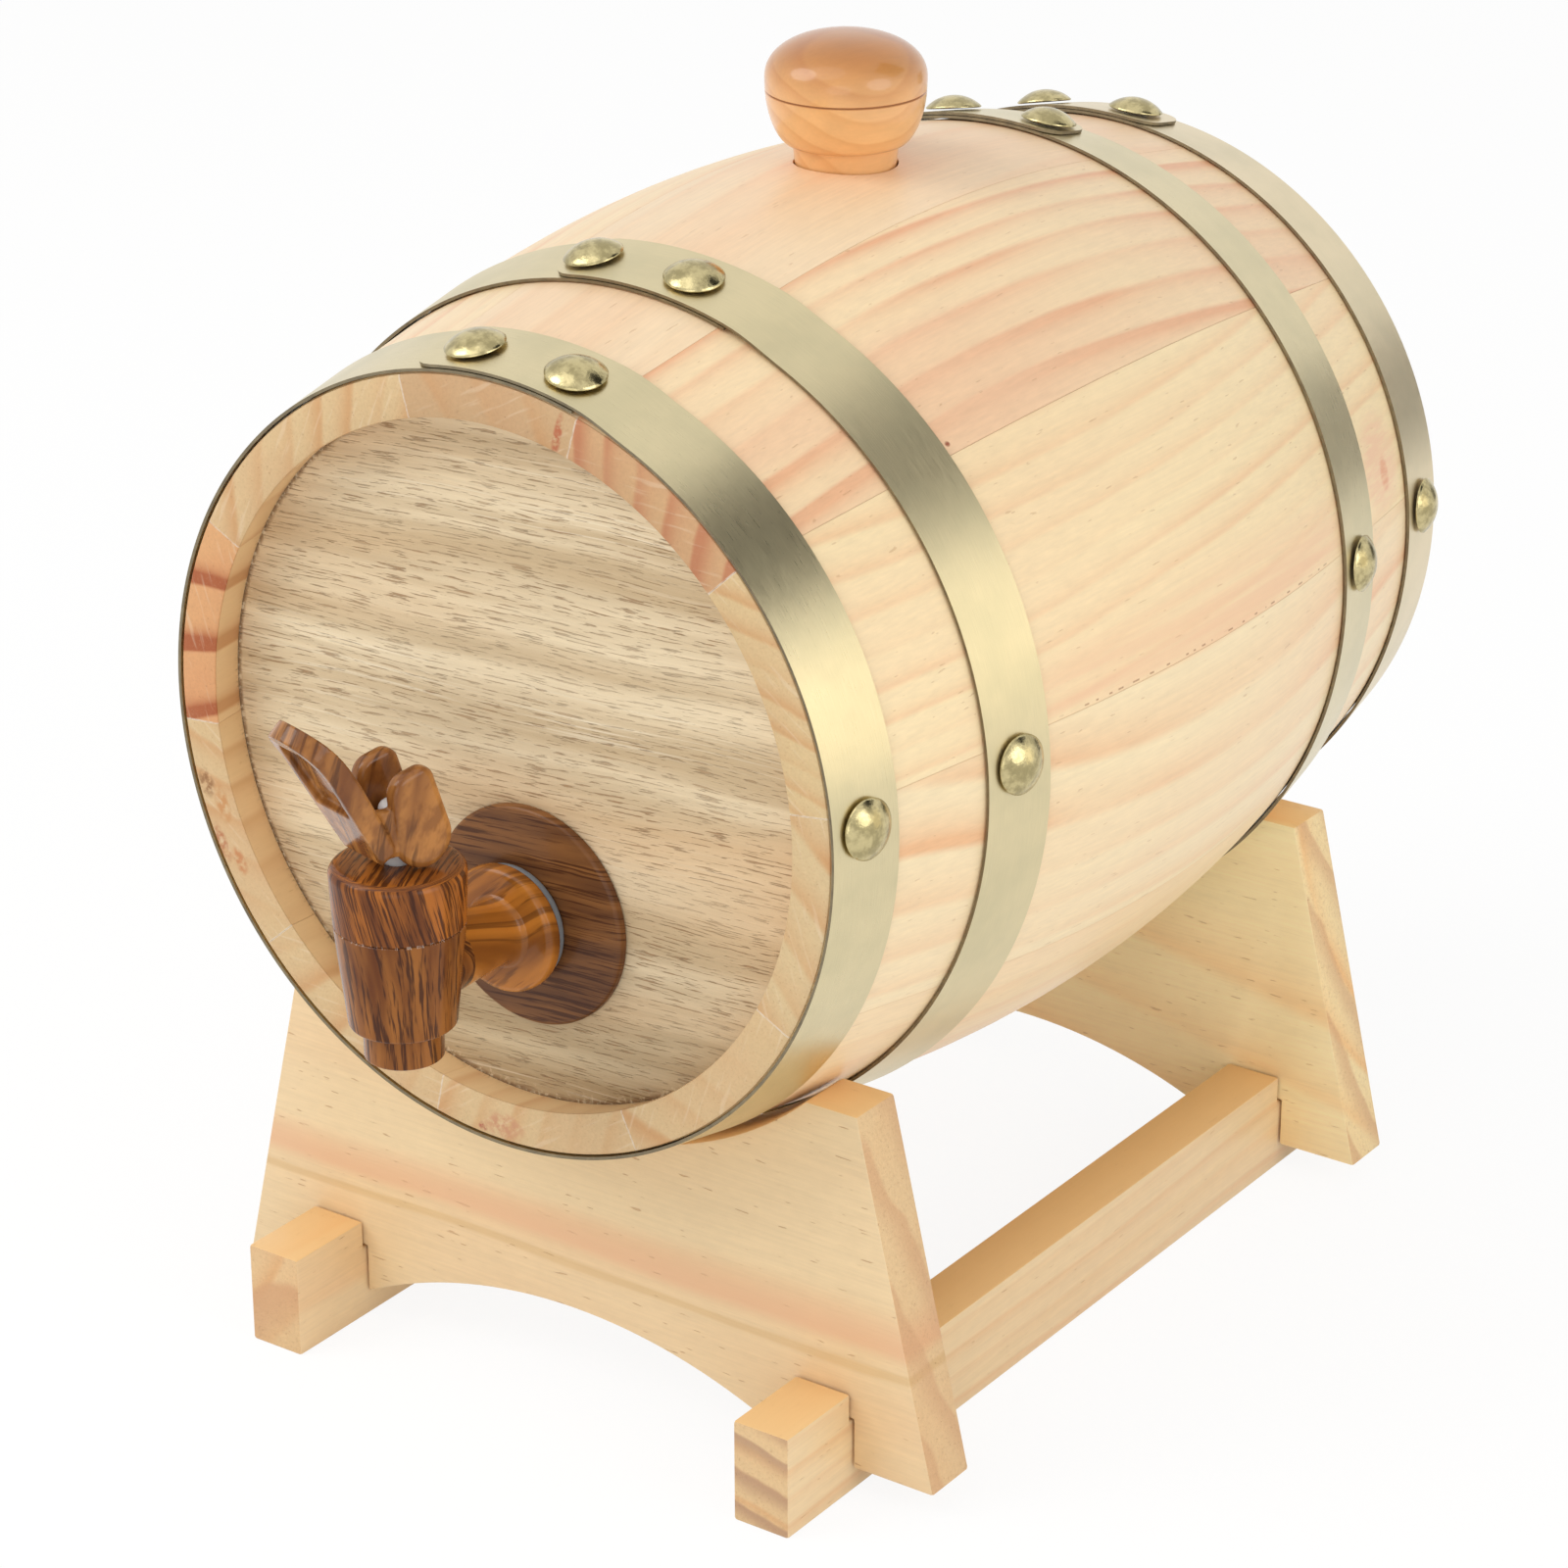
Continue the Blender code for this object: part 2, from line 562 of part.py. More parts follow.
def make_plunger(stem, turn, materials):
    """Rod from the soft seal up through the cap, with a head and a cross bar between the lever's ears."""
    seal_foot = BODY_SEAT_HEIGHT + SEAT_GAP
    seal_top = seal_foot + SEAL_THICKNESS
    socket_radius = PLUNGER_RADIUS + SEAT_GAP
    socket_floor = seal_top - SEAL_SOCKET_DEPTH
    seal_profile = [
        (0, seal_foot),
        (SEAL_RADIUS - SEAL_SOCKET_DEPTH, seal_foot),
        (SEAL_RADIUS, seal_foot + SEAL_SOCKET_DEPTH),
        (SEAL_RADIUS, seal_top),
        (socket_radius, seal_top),
        (socket_radius, socket_floor),
        (0, socket_floor),
    ]
    seal = turned(seal_profile, TAP_STEPS)
    make_object("plunger_seal", seal, stem, materials["plunger_seal"], (0, TAP_PLACE, 0))
    pivot = CAP_TOP + PIVOT_HEIGHT
    head_top = CAP_TOP + PLUNGER_HEAD_HEIGHT
    dome = PLUNGER_HEAD_RADIUS / 2
    profile = [
        (0, socket_floor + SEAT_GAP),
        (PLUNGER_RADIUS, socket_floor + SEAT_GAP),
        (PLUNGER_RADIUS, pivot - CROSS_BAR_RADIUS / 2),
        (PLUNGER_HEAD_RADIUS, pivot + CROSS_BAR_RADIUS / 2),
        (PLUNGER_HEAD_RADIUS, head_top - dome),
        (PLUNGER_HEAD_RADIUS - dome * (1 - cos(pi / 4)), head_top - dome * (1 - sin(pi / 4))),
        (PLUNGER_HEAD_RADIUS - dome, head_top),
        (0, head_top),
    ]
    rotation = (0, 0, radians(-turn))
    rod = turned(profile, TAP_STEPS // 2)
    plunger = make_object("plunger", rod, stem, materials["plunger"], (0, TAP_PLACE, 0), rotation)
    reach = LEVER_HALF - EAR_THICKNESS / 3 - SEAT_GAP
    bar = extruded(arc((0, 0), CROSS_BAR_RADIUS, 0, 330, 11), -reach, reach, lambda a, b, c: (c, a, b))
    combine(plunger, make_object("cross_bar", bar, stem, None, (0, TAP_PLACE, pivot), rotation), "UNION")
    return plunger


def side_place(a, b, c):
    """Point of a lever outline, given from the cap's top, with its height counted from the pivot."""
    return c, a, b - PIVOT_HEIGHT


def paddle_rings(start, end, inset, front, back, swell, count):
    """Cross-sections of the paddle from start to end, narrower by inset, with its two faces given.

    The back face swells out between the foot and the tip.
    """
    rings = []
    for i in range(count + 1):
        along = start + (end - start) * sin(i / count * pi / 2)
        y, z, lean = paddle_point(along)
        half = paddle_half(min(along + inset, PADDLE_STRAIGHT + PADDLE_CURVED)) - inset
        half = max(half, inset / 2)
        low = back - swell * sin(pi * along / (PADDLE_STRAIGHT + PADDLE_CURVED))
        corners = ((-half, front), (half, front), (half, low), (-half, low))
        rings.append([side_place(y - depth * cos(lean), z - depth * sin(lean), x) for x, depth in corners])
    return rings


def ear_outline():
    """Slanted oval: two round ends and their common tangents."""
    low = Vector(EAR_LOW_CENTRE)
    high = Vector(EAR_HIGH_CENTRE)
    along = degrees(atan2(*(high - low).yx))
    tangent = degrees(acos((EAR_LOW_RADIUS - EAR_HIGH_RADIUS) / (high - low).length))
    upper = arc(high, EAR_HIGH_RADIUS, along - tangent, along + tangent, 8)
    lower = arc(low, EAR_LOW_RADIUS, along + tangent, along + 360 - tangent, 8)
    return upper + lower


def web_outline():
    """Outline of the block that joins the paddle's middle line to the ears."""
    lean = radians(PADDLE_LEAN)
    low = (WEB_FOOT - PADDLE_FOOT[1]) / cos(lean)
    high = (WEB_TOP - PADDLE_FOOT[1]) / cos(lean)
    back = EAR_LOW_CENTRE[0] - EAR_LOW_RADIUS / 2
    front_low = PADDLE_FOOT[0] - low * sin(lean)
    front_high = PADDLE_FOOT[0] - high * sin(lean)
    top_back = (back, WEB_TOP - PADDLE_THICKNESS / 2)
    return [(back, WEB_FOOT), top_back, (front_high, WEB_TOP), (front_low, WEB_FOOT)]


def make_lever(stem, turn, tilt, material):
    """Paddle, ears and web as one piece, cut free of the plunger at rest and at full tilt."""
    place = (0, TAP_PLACE, CAP_TOP + PIVOT_HEIGHT)
    rotation = (0, 0, radians(-turn))
    half_thickness = PADDLE_THICKNESS / 2
    length = PADDLE_STRAIGHT + PADDLE_CURVED
    rings = paddle_rings(0, length, 0, half_thickness, -half_thickness, PADDLE_SWELL, 12)
    lever = make_object("lever", bridged(rings), stem, material, place, rotation)
    inner = LEVER_HALF - EAR_THICKNESS
    for side, name in ((-1, "left_ear"), (1, "right_ear")):
        ear = extruded(ear_outline(), side * inner, side * LEVER_HALF, side_place)
        combine(lever, make_object(name, ear, stem, None, place, rotation), "UNION")
    web = extruded(web_outline(), -WEB_WIDTH / 2, WEB_WIDTH / 2, side_place)
    combine(lever, make_object("web", web, stem, None, place, rotation), "UNION")
    hollow = paddle_rings(
        PADDLE_HOLLOW_START,
        length - 2 * PADDLE_RIM,
        PADDLE_RIM,
        half_thickness + CUT_REACH,
        half_thickness - PADDLE_HOLLOW,
        0,
        8,
    )
    combine(lever, make_object("paddle_hollow", bridged(hollow), stem, None, place, rotation))
    rod_gap = PLUNGER_RADIUS + SEAT_GAP
    head_gap = PLUNGER_HEAD_RADIUS + SEAT_GAP
    swing = radians(tilt)
    depth = PIVOT_HEIGHT + CUT_REACH
    rod_slot = [
        (-rod_gap / cos(swing), 0),
        (-(rod_gap + depth * sin(swing)) / cos(swing), -depth),
        (EAR_LOW_RADIUS, -depth),
        (EAR_LOW_RADIUS, 0),
    ]
    slot = extruded(rod_slot, -rod_gap, rod_gap, lambda a, b, c: (c, a, b))
    combine(lever, make_object("rod_slot", slot, stem, None, place, rotation))
    head_slot = [
        (-head_gap, -CROSS_BAR_RADIUS),
        (EAR_LOW_RADIUS, -CROSS_BAR_RADIUS),
        (EAR_LOW_RADIUS, PLUNGER_HEAD_HEIGHT),
        (-head_gap, PLUNGER_HEAD_HEIGHT),
    ]
    slot = extruded(head_slot, -inner, inner, lambda a, b, c: (c, a, b))
    combine(lever, make_object("head_slot", slot, stem, None, place, rotation))
    reach = LEVER_HALF - EAR_THICKNESS / 3
    socket = arc((0, 0), CROSS_BAR_RADIUS + SEAT_GAP, 0, 330, 11)
    bar = extruded(socket, -reach, reach, lambda a, b, c: (c, a, b))
    combine(lever, make_object("cross_bar_sockets", bar, stem, None, place, rotation))
    return lever


def board_outline(cradle_radius):
    """Half by half: sloping sides, flats beside the round cradle, and a low arch between the feet."""
    drop = AXIS_HEIGHT - BOARD_TOP
    opening = degrees(acos(drop / cradle_radius))
    cradle = arc((0, AXIS_HEIGHT), cradle_radius, -90 + opening, -90 - opening, 2 * ARC_STEPS)
    rise = ARCH_TOP - BOARD_FOOT
    arch_radius = (ARCH_HALF**2 + rise**2) / (2 * rise)
    half = degrees(asin(ARCH_HALF / arch_radius))
    arch = arc((0, ARCH_TOP - arch_radius), arch_radius, 90 + half, 90 - half, ARC_STEPS)
    left = [(-BOARD_TOP_HALF, BOARD_TOP), (-BOARD_FOOT_HALF, BOARD_FOOT)]
    right = [(BOARD_FOOT_HALF, BOARD_FOOT), (BOARD_TOP_HALF, BOARD_TOP)]
    return cradle + left + arch + right


def make_board(name, outer_face, parent, material):
    """Upright board, with its cradle cut to the staves at its inner face."""
    side = 1 if outer_face > 0 else -1
    inner_face = outer_face - side * BOARD_THICKNESS
    outline = board_outline(stave_radius(inner_face) + SEAT_GAP)
    bm = extruded(outline, 0, inner_face - outer_face, lambda a, b, c: (a, c, b))
    board = make_object(name, bm, parent, material, (0, outer_face, 0))
    notch_top = RAIL_HEIGHT - NOTCH_DEPTH
    half = RAIL_WIDTH / 2 + SEAT_GAP
    for x in (-RAIL_PLACE, RAIL_PLACE):
        box = bmesh.new()
        bmesh.ops.create_cube(box, size=1)
        size = (2 * half, BOARD_THICKNESS + 2 * CUT_REACH, notch_top + SEAT_GAP)
        bmesh.ops.scale(box, vec=size, verts=box.verts)
        place = (x, (outer_face + inner_face) / 2, size[2] / 2)
        combine(board, make_object(f"{name}_notch", box, parent, None, place))
    return board


def make_rail(name, x, parent, material):
    """Square rail under both boards, with a shallow notch for each."""
    front = FRONT_BOARD_FACE - RAIL_OVERHANG
    back = REAR_BOARD_FACE + RAIL_OVERHANG
    bm = bmesh.new()
    bmesh.ops.create_cube(bm, size=1)
    bmesh.ops.scale(bm, vec=(RAIL_WIDTH, back - front, RAIL_HEIGHT), verts=bm.verts)
    rail = make_object(name, bm, parent, material, (x, (front + back) / 2, RAIL_HEIGHT / 2))
    for outer_face, side in ((FRONT_BOARD_FACE, 1), (REAR_BOARD_FACE, -1)):
        box = bmesh.new()
        bmesh.ops.create_cube(box, size=1)
        size = (RAIL_WIDTH + 2 * CUT_REACH, BOARD_THICKNESS + 2 * SEAT_GAP, 2 * NOTCH_DEPTH)
        bmesh.ops.scale(box, vec=size, verts=box.verts)
        place = (x, outer_face + side * BOARD_THICKNESS / 2, RAIL_HEIGHT)
        combine(rail, make_object(f"{name}_notch", box, parent, None, place))
    return rail


def stave_at(angle):
    """Index of the stave that lies at an angle from the barrel's top."""
    left = (angle - FIRST_JOINT) % 360
    for i, width in enumerate(STAVE_WIDTHS):
        if left < width:
            return i
        left -= width
    return 0


def make_barrel(barrel, materials):
    """Staves, heads, hoops, nails and bung. Returns the front head, which carries the tap."""
    staves = []
    angle = FIRST_JOINT
    for i, width in enumerate(STAVE_WIDTHS):
        staves.append(make_stave(f"stave_{i + 1:02}", angle, width, barrel, materials["staves"]))
        angle += width
    front_head = make_head("front_head", -HEAD_FACE, barrel, materials["heads"])
    make_head("rear_head", HEAD_FACE - HEAD_THICKNESS, barrel, materials["heads"])
    head_hoop_place = BARREL_HALF - HOOP_WIDTH / 2
    hoops = (
        ("front_head", -head_hoop_place, FRONT_HEAD_LAP, 1, FRONT_HEAD_NAILS),
        ("front_quarter", -QUARTER_HOOP_PLACE, FRONT_QUARTER_LAP, 1, FRONT_QUARTER_NAILS),
        ("rear_quarter", QUARTER_HOOP_PLACE, REAR_QUARTER_LAP, -1, REAR_QUARTER_NAILS),
        ("rear_head", head_hoop_place, REAR_HEAD_LAP, -1, REAR_HEAD_NAILS),
    )
    for label, y, lap_angle, direction, lap_nails in hoops:
        hoop = make_hoop(f"{label}_hoop", y, lap_angle, direction, barrel, materials["hoops"])
        for i, nail_angle in enumerate((*lap_nails, SIDE_NAIL_ANGLE, -SIDE_NAIL_ANGLE)):
            name = f"{label}_nail_{i + 1}"
            on_lap = i < len(lap_nails)
            stave = staves[stave_at(nail_angle)]
            make_nail(name, y, nail_angle, on_lap, hoop, stave, barrel, materials["nails"])
    make_bung(staves[stave_at(0)], barrel, materials["bung"])
    return front_head


def make_materials():
    return {
        "staves": make_material("stave pine", (0.83, 0.62, 0.38), 0.45),
        "heads": make_material("head wood", (0.60, 0.47, 0.31), 0.6),
        "hoops": make_material("hoop brass", (0.66, 0.58, 0.36), 0.3, 1.0),
        "nails": make_material("nail brass", (0.60, 0.50, 0.26), 0.35, 1.0),
        "bung": make_material("bung wood", (0.69, 0.36, 0.13), 0.3),
        "tap": make_material("tap plastic", (0.24, 0.10, 0.04), 0.3),
        "washers": make_material("washer rubber", (0.35, 0.36, 0.37), 0.6),
        "lock_nut": make_material("nut plastic", (0.20, 0.10, 0.05), 0.4),
        "plunger": make_material("plunger plastic", (0.80, 0.80, 0.80), 0.4),
        "plunger_seal": make_material("seal rubber", (0.62, 0.62, 0.60), 0.6),
        "lever": make_material("lever plastic", (0.36, 0.15, 0.05), 0.28),
        "stand": make_material("stand pine", (0.80, 0.58, 0.33), 0.5),
    }


def main():
    for item in list(bpy.data.objects):
        bpy.data.objects.remove(item)
    materials = make_materials()
    stand = make_empty("stand_base", (0, BARREL_MIDDLE, 0))
    make_board("front_board", FRONT_BOARD_FACE, stand, materials["stand"])
    make_board("rear_board", REAR_BOARD_FACE, stand, materials["stand"])
    make_rail("left_rail", -RAIL_PLACE, stand, materials["stand"])
    make_rail("right_rail", RAIL_PLACE, stand, materials["stand"])
    barrel = make_empty("barrel_axis", (0, 0, AXIS_HEIGHT), stand)
    front_head = make_barrel(barrel, materials)
    stem = make_empty("tap_axis", (0, 0, -TAP_DROP), barrel)
    flange_back, shank_end = make_tap_fixing(front_head, stem, materials)
    make_tap_body(flange_back, shank_end, stem, materials["tap"])
    make_cap(stem, materials["tap"])
    make_plunger(stem, LEVER_TURN, materials)
    make_lever(stem, LEVER_TURN, LEVER_TILT, materials["lever"])


main()
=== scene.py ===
# Looks of a small aging barrel: pine staves, brass hoops, a wood-print tap, a turned bung, a cradle stand.
# Metres, +Z up. The barrel lies along Y and its tap points towards -Y.
# Angles round the barrel are in degrees from its top, positive towards +X.

import math

import bmesh
import bpy
from mathutils import Matrix, Vector, noise


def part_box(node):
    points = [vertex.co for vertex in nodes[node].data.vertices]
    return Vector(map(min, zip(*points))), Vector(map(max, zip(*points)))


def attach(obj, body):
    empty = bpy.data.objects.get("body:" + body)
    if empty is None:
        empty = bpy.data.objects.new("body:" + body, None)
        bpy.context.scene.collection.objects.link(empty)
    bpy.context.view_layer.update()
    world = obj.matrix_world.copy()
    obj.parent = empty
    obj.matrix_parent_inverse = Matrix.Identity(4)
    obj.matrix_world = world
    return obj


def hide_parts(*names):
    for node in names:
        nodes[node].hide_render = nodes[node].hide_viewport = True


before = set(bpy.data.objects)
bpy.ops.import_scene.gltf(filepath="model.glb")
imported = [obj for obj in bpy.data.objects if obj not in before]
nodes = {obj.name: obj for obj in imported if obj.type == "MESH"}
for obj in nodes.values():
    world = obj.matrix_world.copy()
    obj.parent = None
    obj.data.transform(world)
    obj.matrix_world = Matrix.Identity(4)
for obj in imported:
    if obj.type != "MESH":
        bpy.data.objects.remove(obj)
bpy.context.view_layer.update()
print("frame loaded,", len(nodes), "nodes")


class Wire:
    # one value inside a material, and the tools to make the next one from it

    def __init__(self, tree, socket=None):
        self.tree = tree
        self.socket = socket

    def node(self, kind, settings=None, values=None, out=0):
        made = self.tree.nodes.new("ShaderNode" + kind)
        for name, value in (settings or {}).items():
            setattr(made, name, value)
        for name, value in (values or {}).items():
            if isinstance(value, Wire):
                self.tree.links.new(value.socket, made.inputs[name])
            elif isinstance(value, tuple) and made.inputs[name].type == "RGBA":
                made.inputs[name].default_value = (*value, 1)
            else:
                made.inputs[name].default_value = value
        return Wire(self.tree, made.outputs[out] if made.outputs else None)

    def math(self, operation, *values):
        return self.node("Math", {"operation": operation}, dict(enumerate(values)))

    def __add__(self, other):
        return self.math("ADD", self, other)

    __radd__ = __add__

    def __sub__(self, other):
        return self.math("SUBTRACT", self, other)

    def __rsub__(self, other):
        return self.math("SUBTRACT", other, self)

    def __mul__(self, other):
        return self.math("MULTIPLY", self, other)

    def __truediv__(self, other):
        return self.math("DIVIDE", self, other)

    def __pow__(self, other):
        return self.math("POWER", self, other)

    def __abs__(self):
        return self.math("ABSOLUTE", self)

    def root(self):
        return self.math("SQRT", self)

    def axis(self, index):
        # one of the three values of a vector
        return self.node("SeparateXYZ", {}, {0: self}, index)

    def smooth(self, low, high):
        # 0 at low, 1 at high, with a soft turn at both
        settings = {"interpolation_type": "SMOOTHSTEP"}
        return self.node("MapRange", settings, {"Value": self, "From Min": low, "From Max": high})

    def mixed(self, first, second):
        # this value is the factor between two colours
        return self.node("Mix", {"data_type": "RGBA"}, {0: self, 6: first, 7: second}, 2)

    def times(self, colour):
        # this grey or colour multiplied by another
        settings = {"data_type": "RGBA", "blend_type": "MULTIPLY"}
        return self.node("Mix", settings, {0: 1.0, 6: colour, 7: self}, 2)

    def shade(self, colour, low, high):
        # a colour multiplied by a grey from low to high
        grey = self * (high - low) + low
        return self.node("CombineColor", {}, {0: grey, 1: grey, 2: grey}).times(colour)

    def cloud(self, x, y, z, detail=2.0, rough=0.5):
        values = {"Vector": self.node("CombineXYZ", {}, {0: x, 1: y, 2: z}), "Scale": 1.0}
        return self.node("TexNoise", {}, {**values, "Detail": detail, "Roughness": rough})

    def placed(self, centre=(0, 0, 0), turn=(0, 0, 0)):
        # object coordinates counted from a centre and then turned, as three values
        rotation = Matrix.Rotation(turn[2], 3, "Z") @ Matrix.Rotation(turn[1], 3, "Y")
        rotation = rotation @ Matrix.Rotation(turn[0], 3, "X")
        values = {"Vector": self.node("TexCoord", {}, {}, 3), "Rotation": tuple(turn)}
        values["Location"] = tuple(-(rotation @ Vector(centre)))
        vector = self.node("Mapping", {"vector_type": "POINT"}, values)
        return [vector.axis(i) for i in range(3)]


def bareFinish(name):
    finish = bpy.data.materials.new(name)
    finish.use_nodes = True
    finish.node_tree.nodes.clear()
    return finish, Wire(finish.node_tree)


def newFinish(name, centre=(0, 0, 0), turn=(0, 0, 0)):
    # a bare material, the wire to build it from and its three coordinates
    finish, start = bareFinish(name)
    return finish, start, *start.placed(centre, turn)


def finishWith(start, values, relief, depth):
    # the last nodes of a material: relief in metres, shader and output
    if relief is not None:
        bumps = {"Strength": 1.0, "Distance": depth, "Height": relief}
        values = {**values, "Normal": start.node("Bump", {}, bumps)}
    shader = start.node("BsdfPrincipled", {}, values)
    start.node("OutputMaterial", {}, {"Surface": shader})


seatGap = 0.0003  # between pieces that sit on one another
# Barrel sizes, counted from its middle and its axis
barrel = {
    "middle": 0.0214185,
    "axisHeight": 0.1171,
    "half": 0.0925,
    "bend": 0.05,
    "bilge": 0.07507,
    "chime": 0.0631,
    "wall": 0.007,
    "headFace": 0.0855,
    "headThickness": 0.006,
    "grooveDepth": 0.0025,
    "grooveGap": 0.0002,
    "jointGap": 0.00002,
    "chimeEdge": 0.0005,
}
barrelCentre = (0, barrel["middle"], barrel["axisHeight"])
bendDrop = barrel["bend"] ** 2 / 2 + barrel["bend"] * (barrel["half"] - barrel["bend"])
bendShare = (barrel["bilge"] - barrel["chime"]) / bendDrop


def woodRadius(y):
    bent = min(abs(y), barrel["bend"])
    return barrel["bilge"] - bendShare * (bent**2 / 2 + bent * (abs(y) - bent))


def woodSlope(y):
    return -bendShare * math.copysign(min(abs(y), barrel["bend"]), y)


def newObject(name, bm, *finishes):
    mesh = bpy.data.meshes.new(name)
    bm.to_mesh(mesh)
    bm.free()
    for finish in finishes:
        mesh.materials.append(finish)
    made = bpy.data.objects.new(name, mesh)
    bpy.context.collection.objects.link(made)
    return made


def handOver(piece, body, node, sharp):
    # smooth shading up to an angle, then what the frame has to know of the piece
    piece.data.shade_smooth()
    piece.data.set_sharp_from_angle(angle=math.radians(sharp))
    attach(piece, body)
    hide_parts(node)
    return piece


def addPiece(name, bm, body, finish, node, sharp=35):
    bmesh.ops.recalc_face_normals(bm, faces=bm.faces[:])
    return handOver(newObject(name, bm, finish), body, node, sharp)


def settle(piece):
    # its modifiers become its mesh
    graph = bpy.context.evaluated_depsgraph_get()
    mesh = bpy.data.meshes.new_from_object(piece.evaluated_get(graph), depsgraph=graph)
    piece.modifiers.clear()
    piece.data = mesh


def turned(profile, steps, closed=False):
    # solid of revolution about Z from points of radius and height
    bm = bmesh.new()
    verts = [bm.verts.new((radius, 0, height)) for radius, height in profile]
    pairs = list(zip(verts, verts[1:]))
    if closed:
        pairs.append((verts[-1], verts[0]))
    geom = verts + [bm.edges.new(pair) for pair in pairs]
    whole = {"cent": (0, 0, 0), "axis": (0, 0, 1), "angle": 2 * math.pi, "use_merge": True}
    bmesh.ops.spin(bm, geom=geom, steps=steps, **whole)
    bmesh.ops.remove_doubles(bm, verts=bm.verts[:], dist=1e-7)
    return bm


def rounding(centre, radius, start, end, steps):
    angles = [math.radians(start + (end - start) * i / steps) for i in range(steps + 1)]
    return [(centre[0] + radius * math.cos(a), centre[1] + radius * math.sin(a)) for a in angles]


def slab(outline, place, across):
    # flat outline made solid: place turns two values into a point, across is its thickness as a vector
    bm = bmesh.new()
    face = bm.faces.new([bm.verts.new(place(a, b)) for a, b in outline])
    made = bmesh.ops.extrude_face_region(bm, geom=[face])["geom"]
    moved = [item for item in made if isinstance(item, bmesh.types.BMVert)]
    bmesh.ops.translate(bm, vec=across, verts=moved)
    return bm


def shifted(bm, vec):
    bmesh.ops.translate(bm, vec=vec, verts=bm.verts)
    return bm


def swung(bm, angle, axis):
    # turned about an axis through the origin
    bmesh.ops.rotate(bm, cent=(0, 0, 0), matrix=Matrix.Rotation(angle, 3, axis), verts=bm.verts)
    return bm


def towardsFront(bm, place):
    # a piece turned about Z is laid so that its top faces -Y
    return shifted(swung(bm, math.pi / 2, "X"), place)


def bevelled(bm, edges, width, segments, clamp=False):
    shape = {"affect": "EDGES", "offset_type": "OFFSET", "profile": 0.5, "material": -1}
    bmesh.ops.bevel(bm, geom=edges, offset=width, segments=segments, clamp_overlap=clamp, **shape)


def bridged(bm, rings):
    for first, second in zip(rings, rings[1:]):
        bmesh.ops.bridge_loops(bm, edges=list(first | second))


def soften(bm, width, least=30):
    # rounds every edge where two faces meet at more than least degrees
    bmesh.ops.recalc_face_normals(bm, faces=bm.faces[:])
    edges = [e for e in bm.edges if len(e.link_faces) == 2 and e.calc_face_angle() > math.radians(least)]
    bevelled(bm, edges, width, 2, True)


# Pine: colours, then the pith's place beside the piece and the width of its rings in metres
pine = {
    "early": (0.93, 0.72, 0.44),
    "late": (0.86, 0.51, 0.27),
    "flush": (0.90, 0.60, 0.37),
    "fleck": (0.54, 0.29, 0.13),
    "pith": (0.055, -0.02),
    "ring": 0.0065,
    "slope": 0.05,
    "sharp": 2.6,
    "strength": 0.75,
    "flushing": 0.3,
    "flecks": 0.36,
    "wander": 0.004,
    "bow": 0.5,
    "endTint": (0.74, 0.69, 0.61),
    "endLate": (0.60, 0.32, 0.13),
    "endMarks": (),
    "bellyMarks": (),
}


def grain(start, a, b, w, look):
    # colour, relief and late bands of pine; a and b lie across the grain and w along it
    seed = look["seed"]
    drift = start.cloud(a * 16 + seed, b * 16, w * 5, 1.0)
    fray = start.cloud(a * 160 + seed, b * 160, w * 24, 2.0)
    side = a - look["pith"][0] + w * look["slope"] + (drift - 0.5) * look["wander"] * 4
    side = side + (fray - 0.5) * look["wander"] * 0.3
    deep = b - look["pith"][1]
    phase = (side * side + deep * deep).root() / look["ring"] + seed
    ring = start.math("FRACT", phase)
    number = start.math("FLOOR", phase) + seed
    tone = start.node("TexWhiteNoise", {"noise_dimensions": "1D"}, {"W": number})
    faded = start.cloud(a * 30 + seed, b * 30, w * 9 + 2, 2.0).smooth(0.30, 0.62)
    band = ring ** look["sharp"] * (1 - ring.smooth(0.78, 1.0))
    band = band * (tone * 1.1 + 0.25) * (faded * 0.8 + 0.2) * look["strength"] * 1.9
    band = start.math("MINIMUM", band, 1.0)
    colour = band.mixed(look["early"], look["late"])
    blush = start.cloud(a * 40 + seed, b * 40 + 3, w * 7, 2.0).smooth(0.4, 0.75)
    colour = (blush * look["flushing"]).mixed(colour, look["flush"])
    fibre = start.cloud(a * 1700, b * 1700, w * 45 + seed, 3.0, 0.6)
    colour = fibre.shade(colour, 0.90, 1.10)
    curl = start.cloud(a * 700, b * 700, w * 330 + seed, 2.0, 0.6)
    colour = curl.shade(colour, 0.95, 1.05)
    pores = start.cloud(a * 2100 + 7, b * 2100, w * 260 + seed, 1.0).smooth(0.72, 0.78)
    colour = (pores * look["flecks"]).mixed(colour, look["fleck"])
    return colour, fibre * 0.6 + curl * 0.4 - pores, band


staveTints = {
    "endPores": (0.52, 0.28, 0.14),
    "sawLines": (0.88, 0.74, 0.54),
    "inside": (0.72, 0.46, 0.20),
    "insideLate": (0.52, 0.24, 0.09),
    "torn": (0.25, 0.14, 0.07),
    "glue": (0.62, 0.33, 0.15),
    "salmon": (0.89, 0.55, 0.33),
    "dashes": (0.36, 0.16, 0.07),
    "dust": (0.86, 0.76, 0.63),
}


def marked(colour, spots, turn, radius, second, mask):
    # stains and knots: degrees from the stave's middle, a length or radius, two half sizes and a colour
    for degrees, place, wide, tall, tint in spots:
        over = (turn - math.radians(degrees)) * radius / wide
        far = (second - place) / tall
        spot = 1 - (over * over + far * far).smooth(0.2, 1.5)
        colour = (spot * mask).mixed(colour, tint)
    return colour


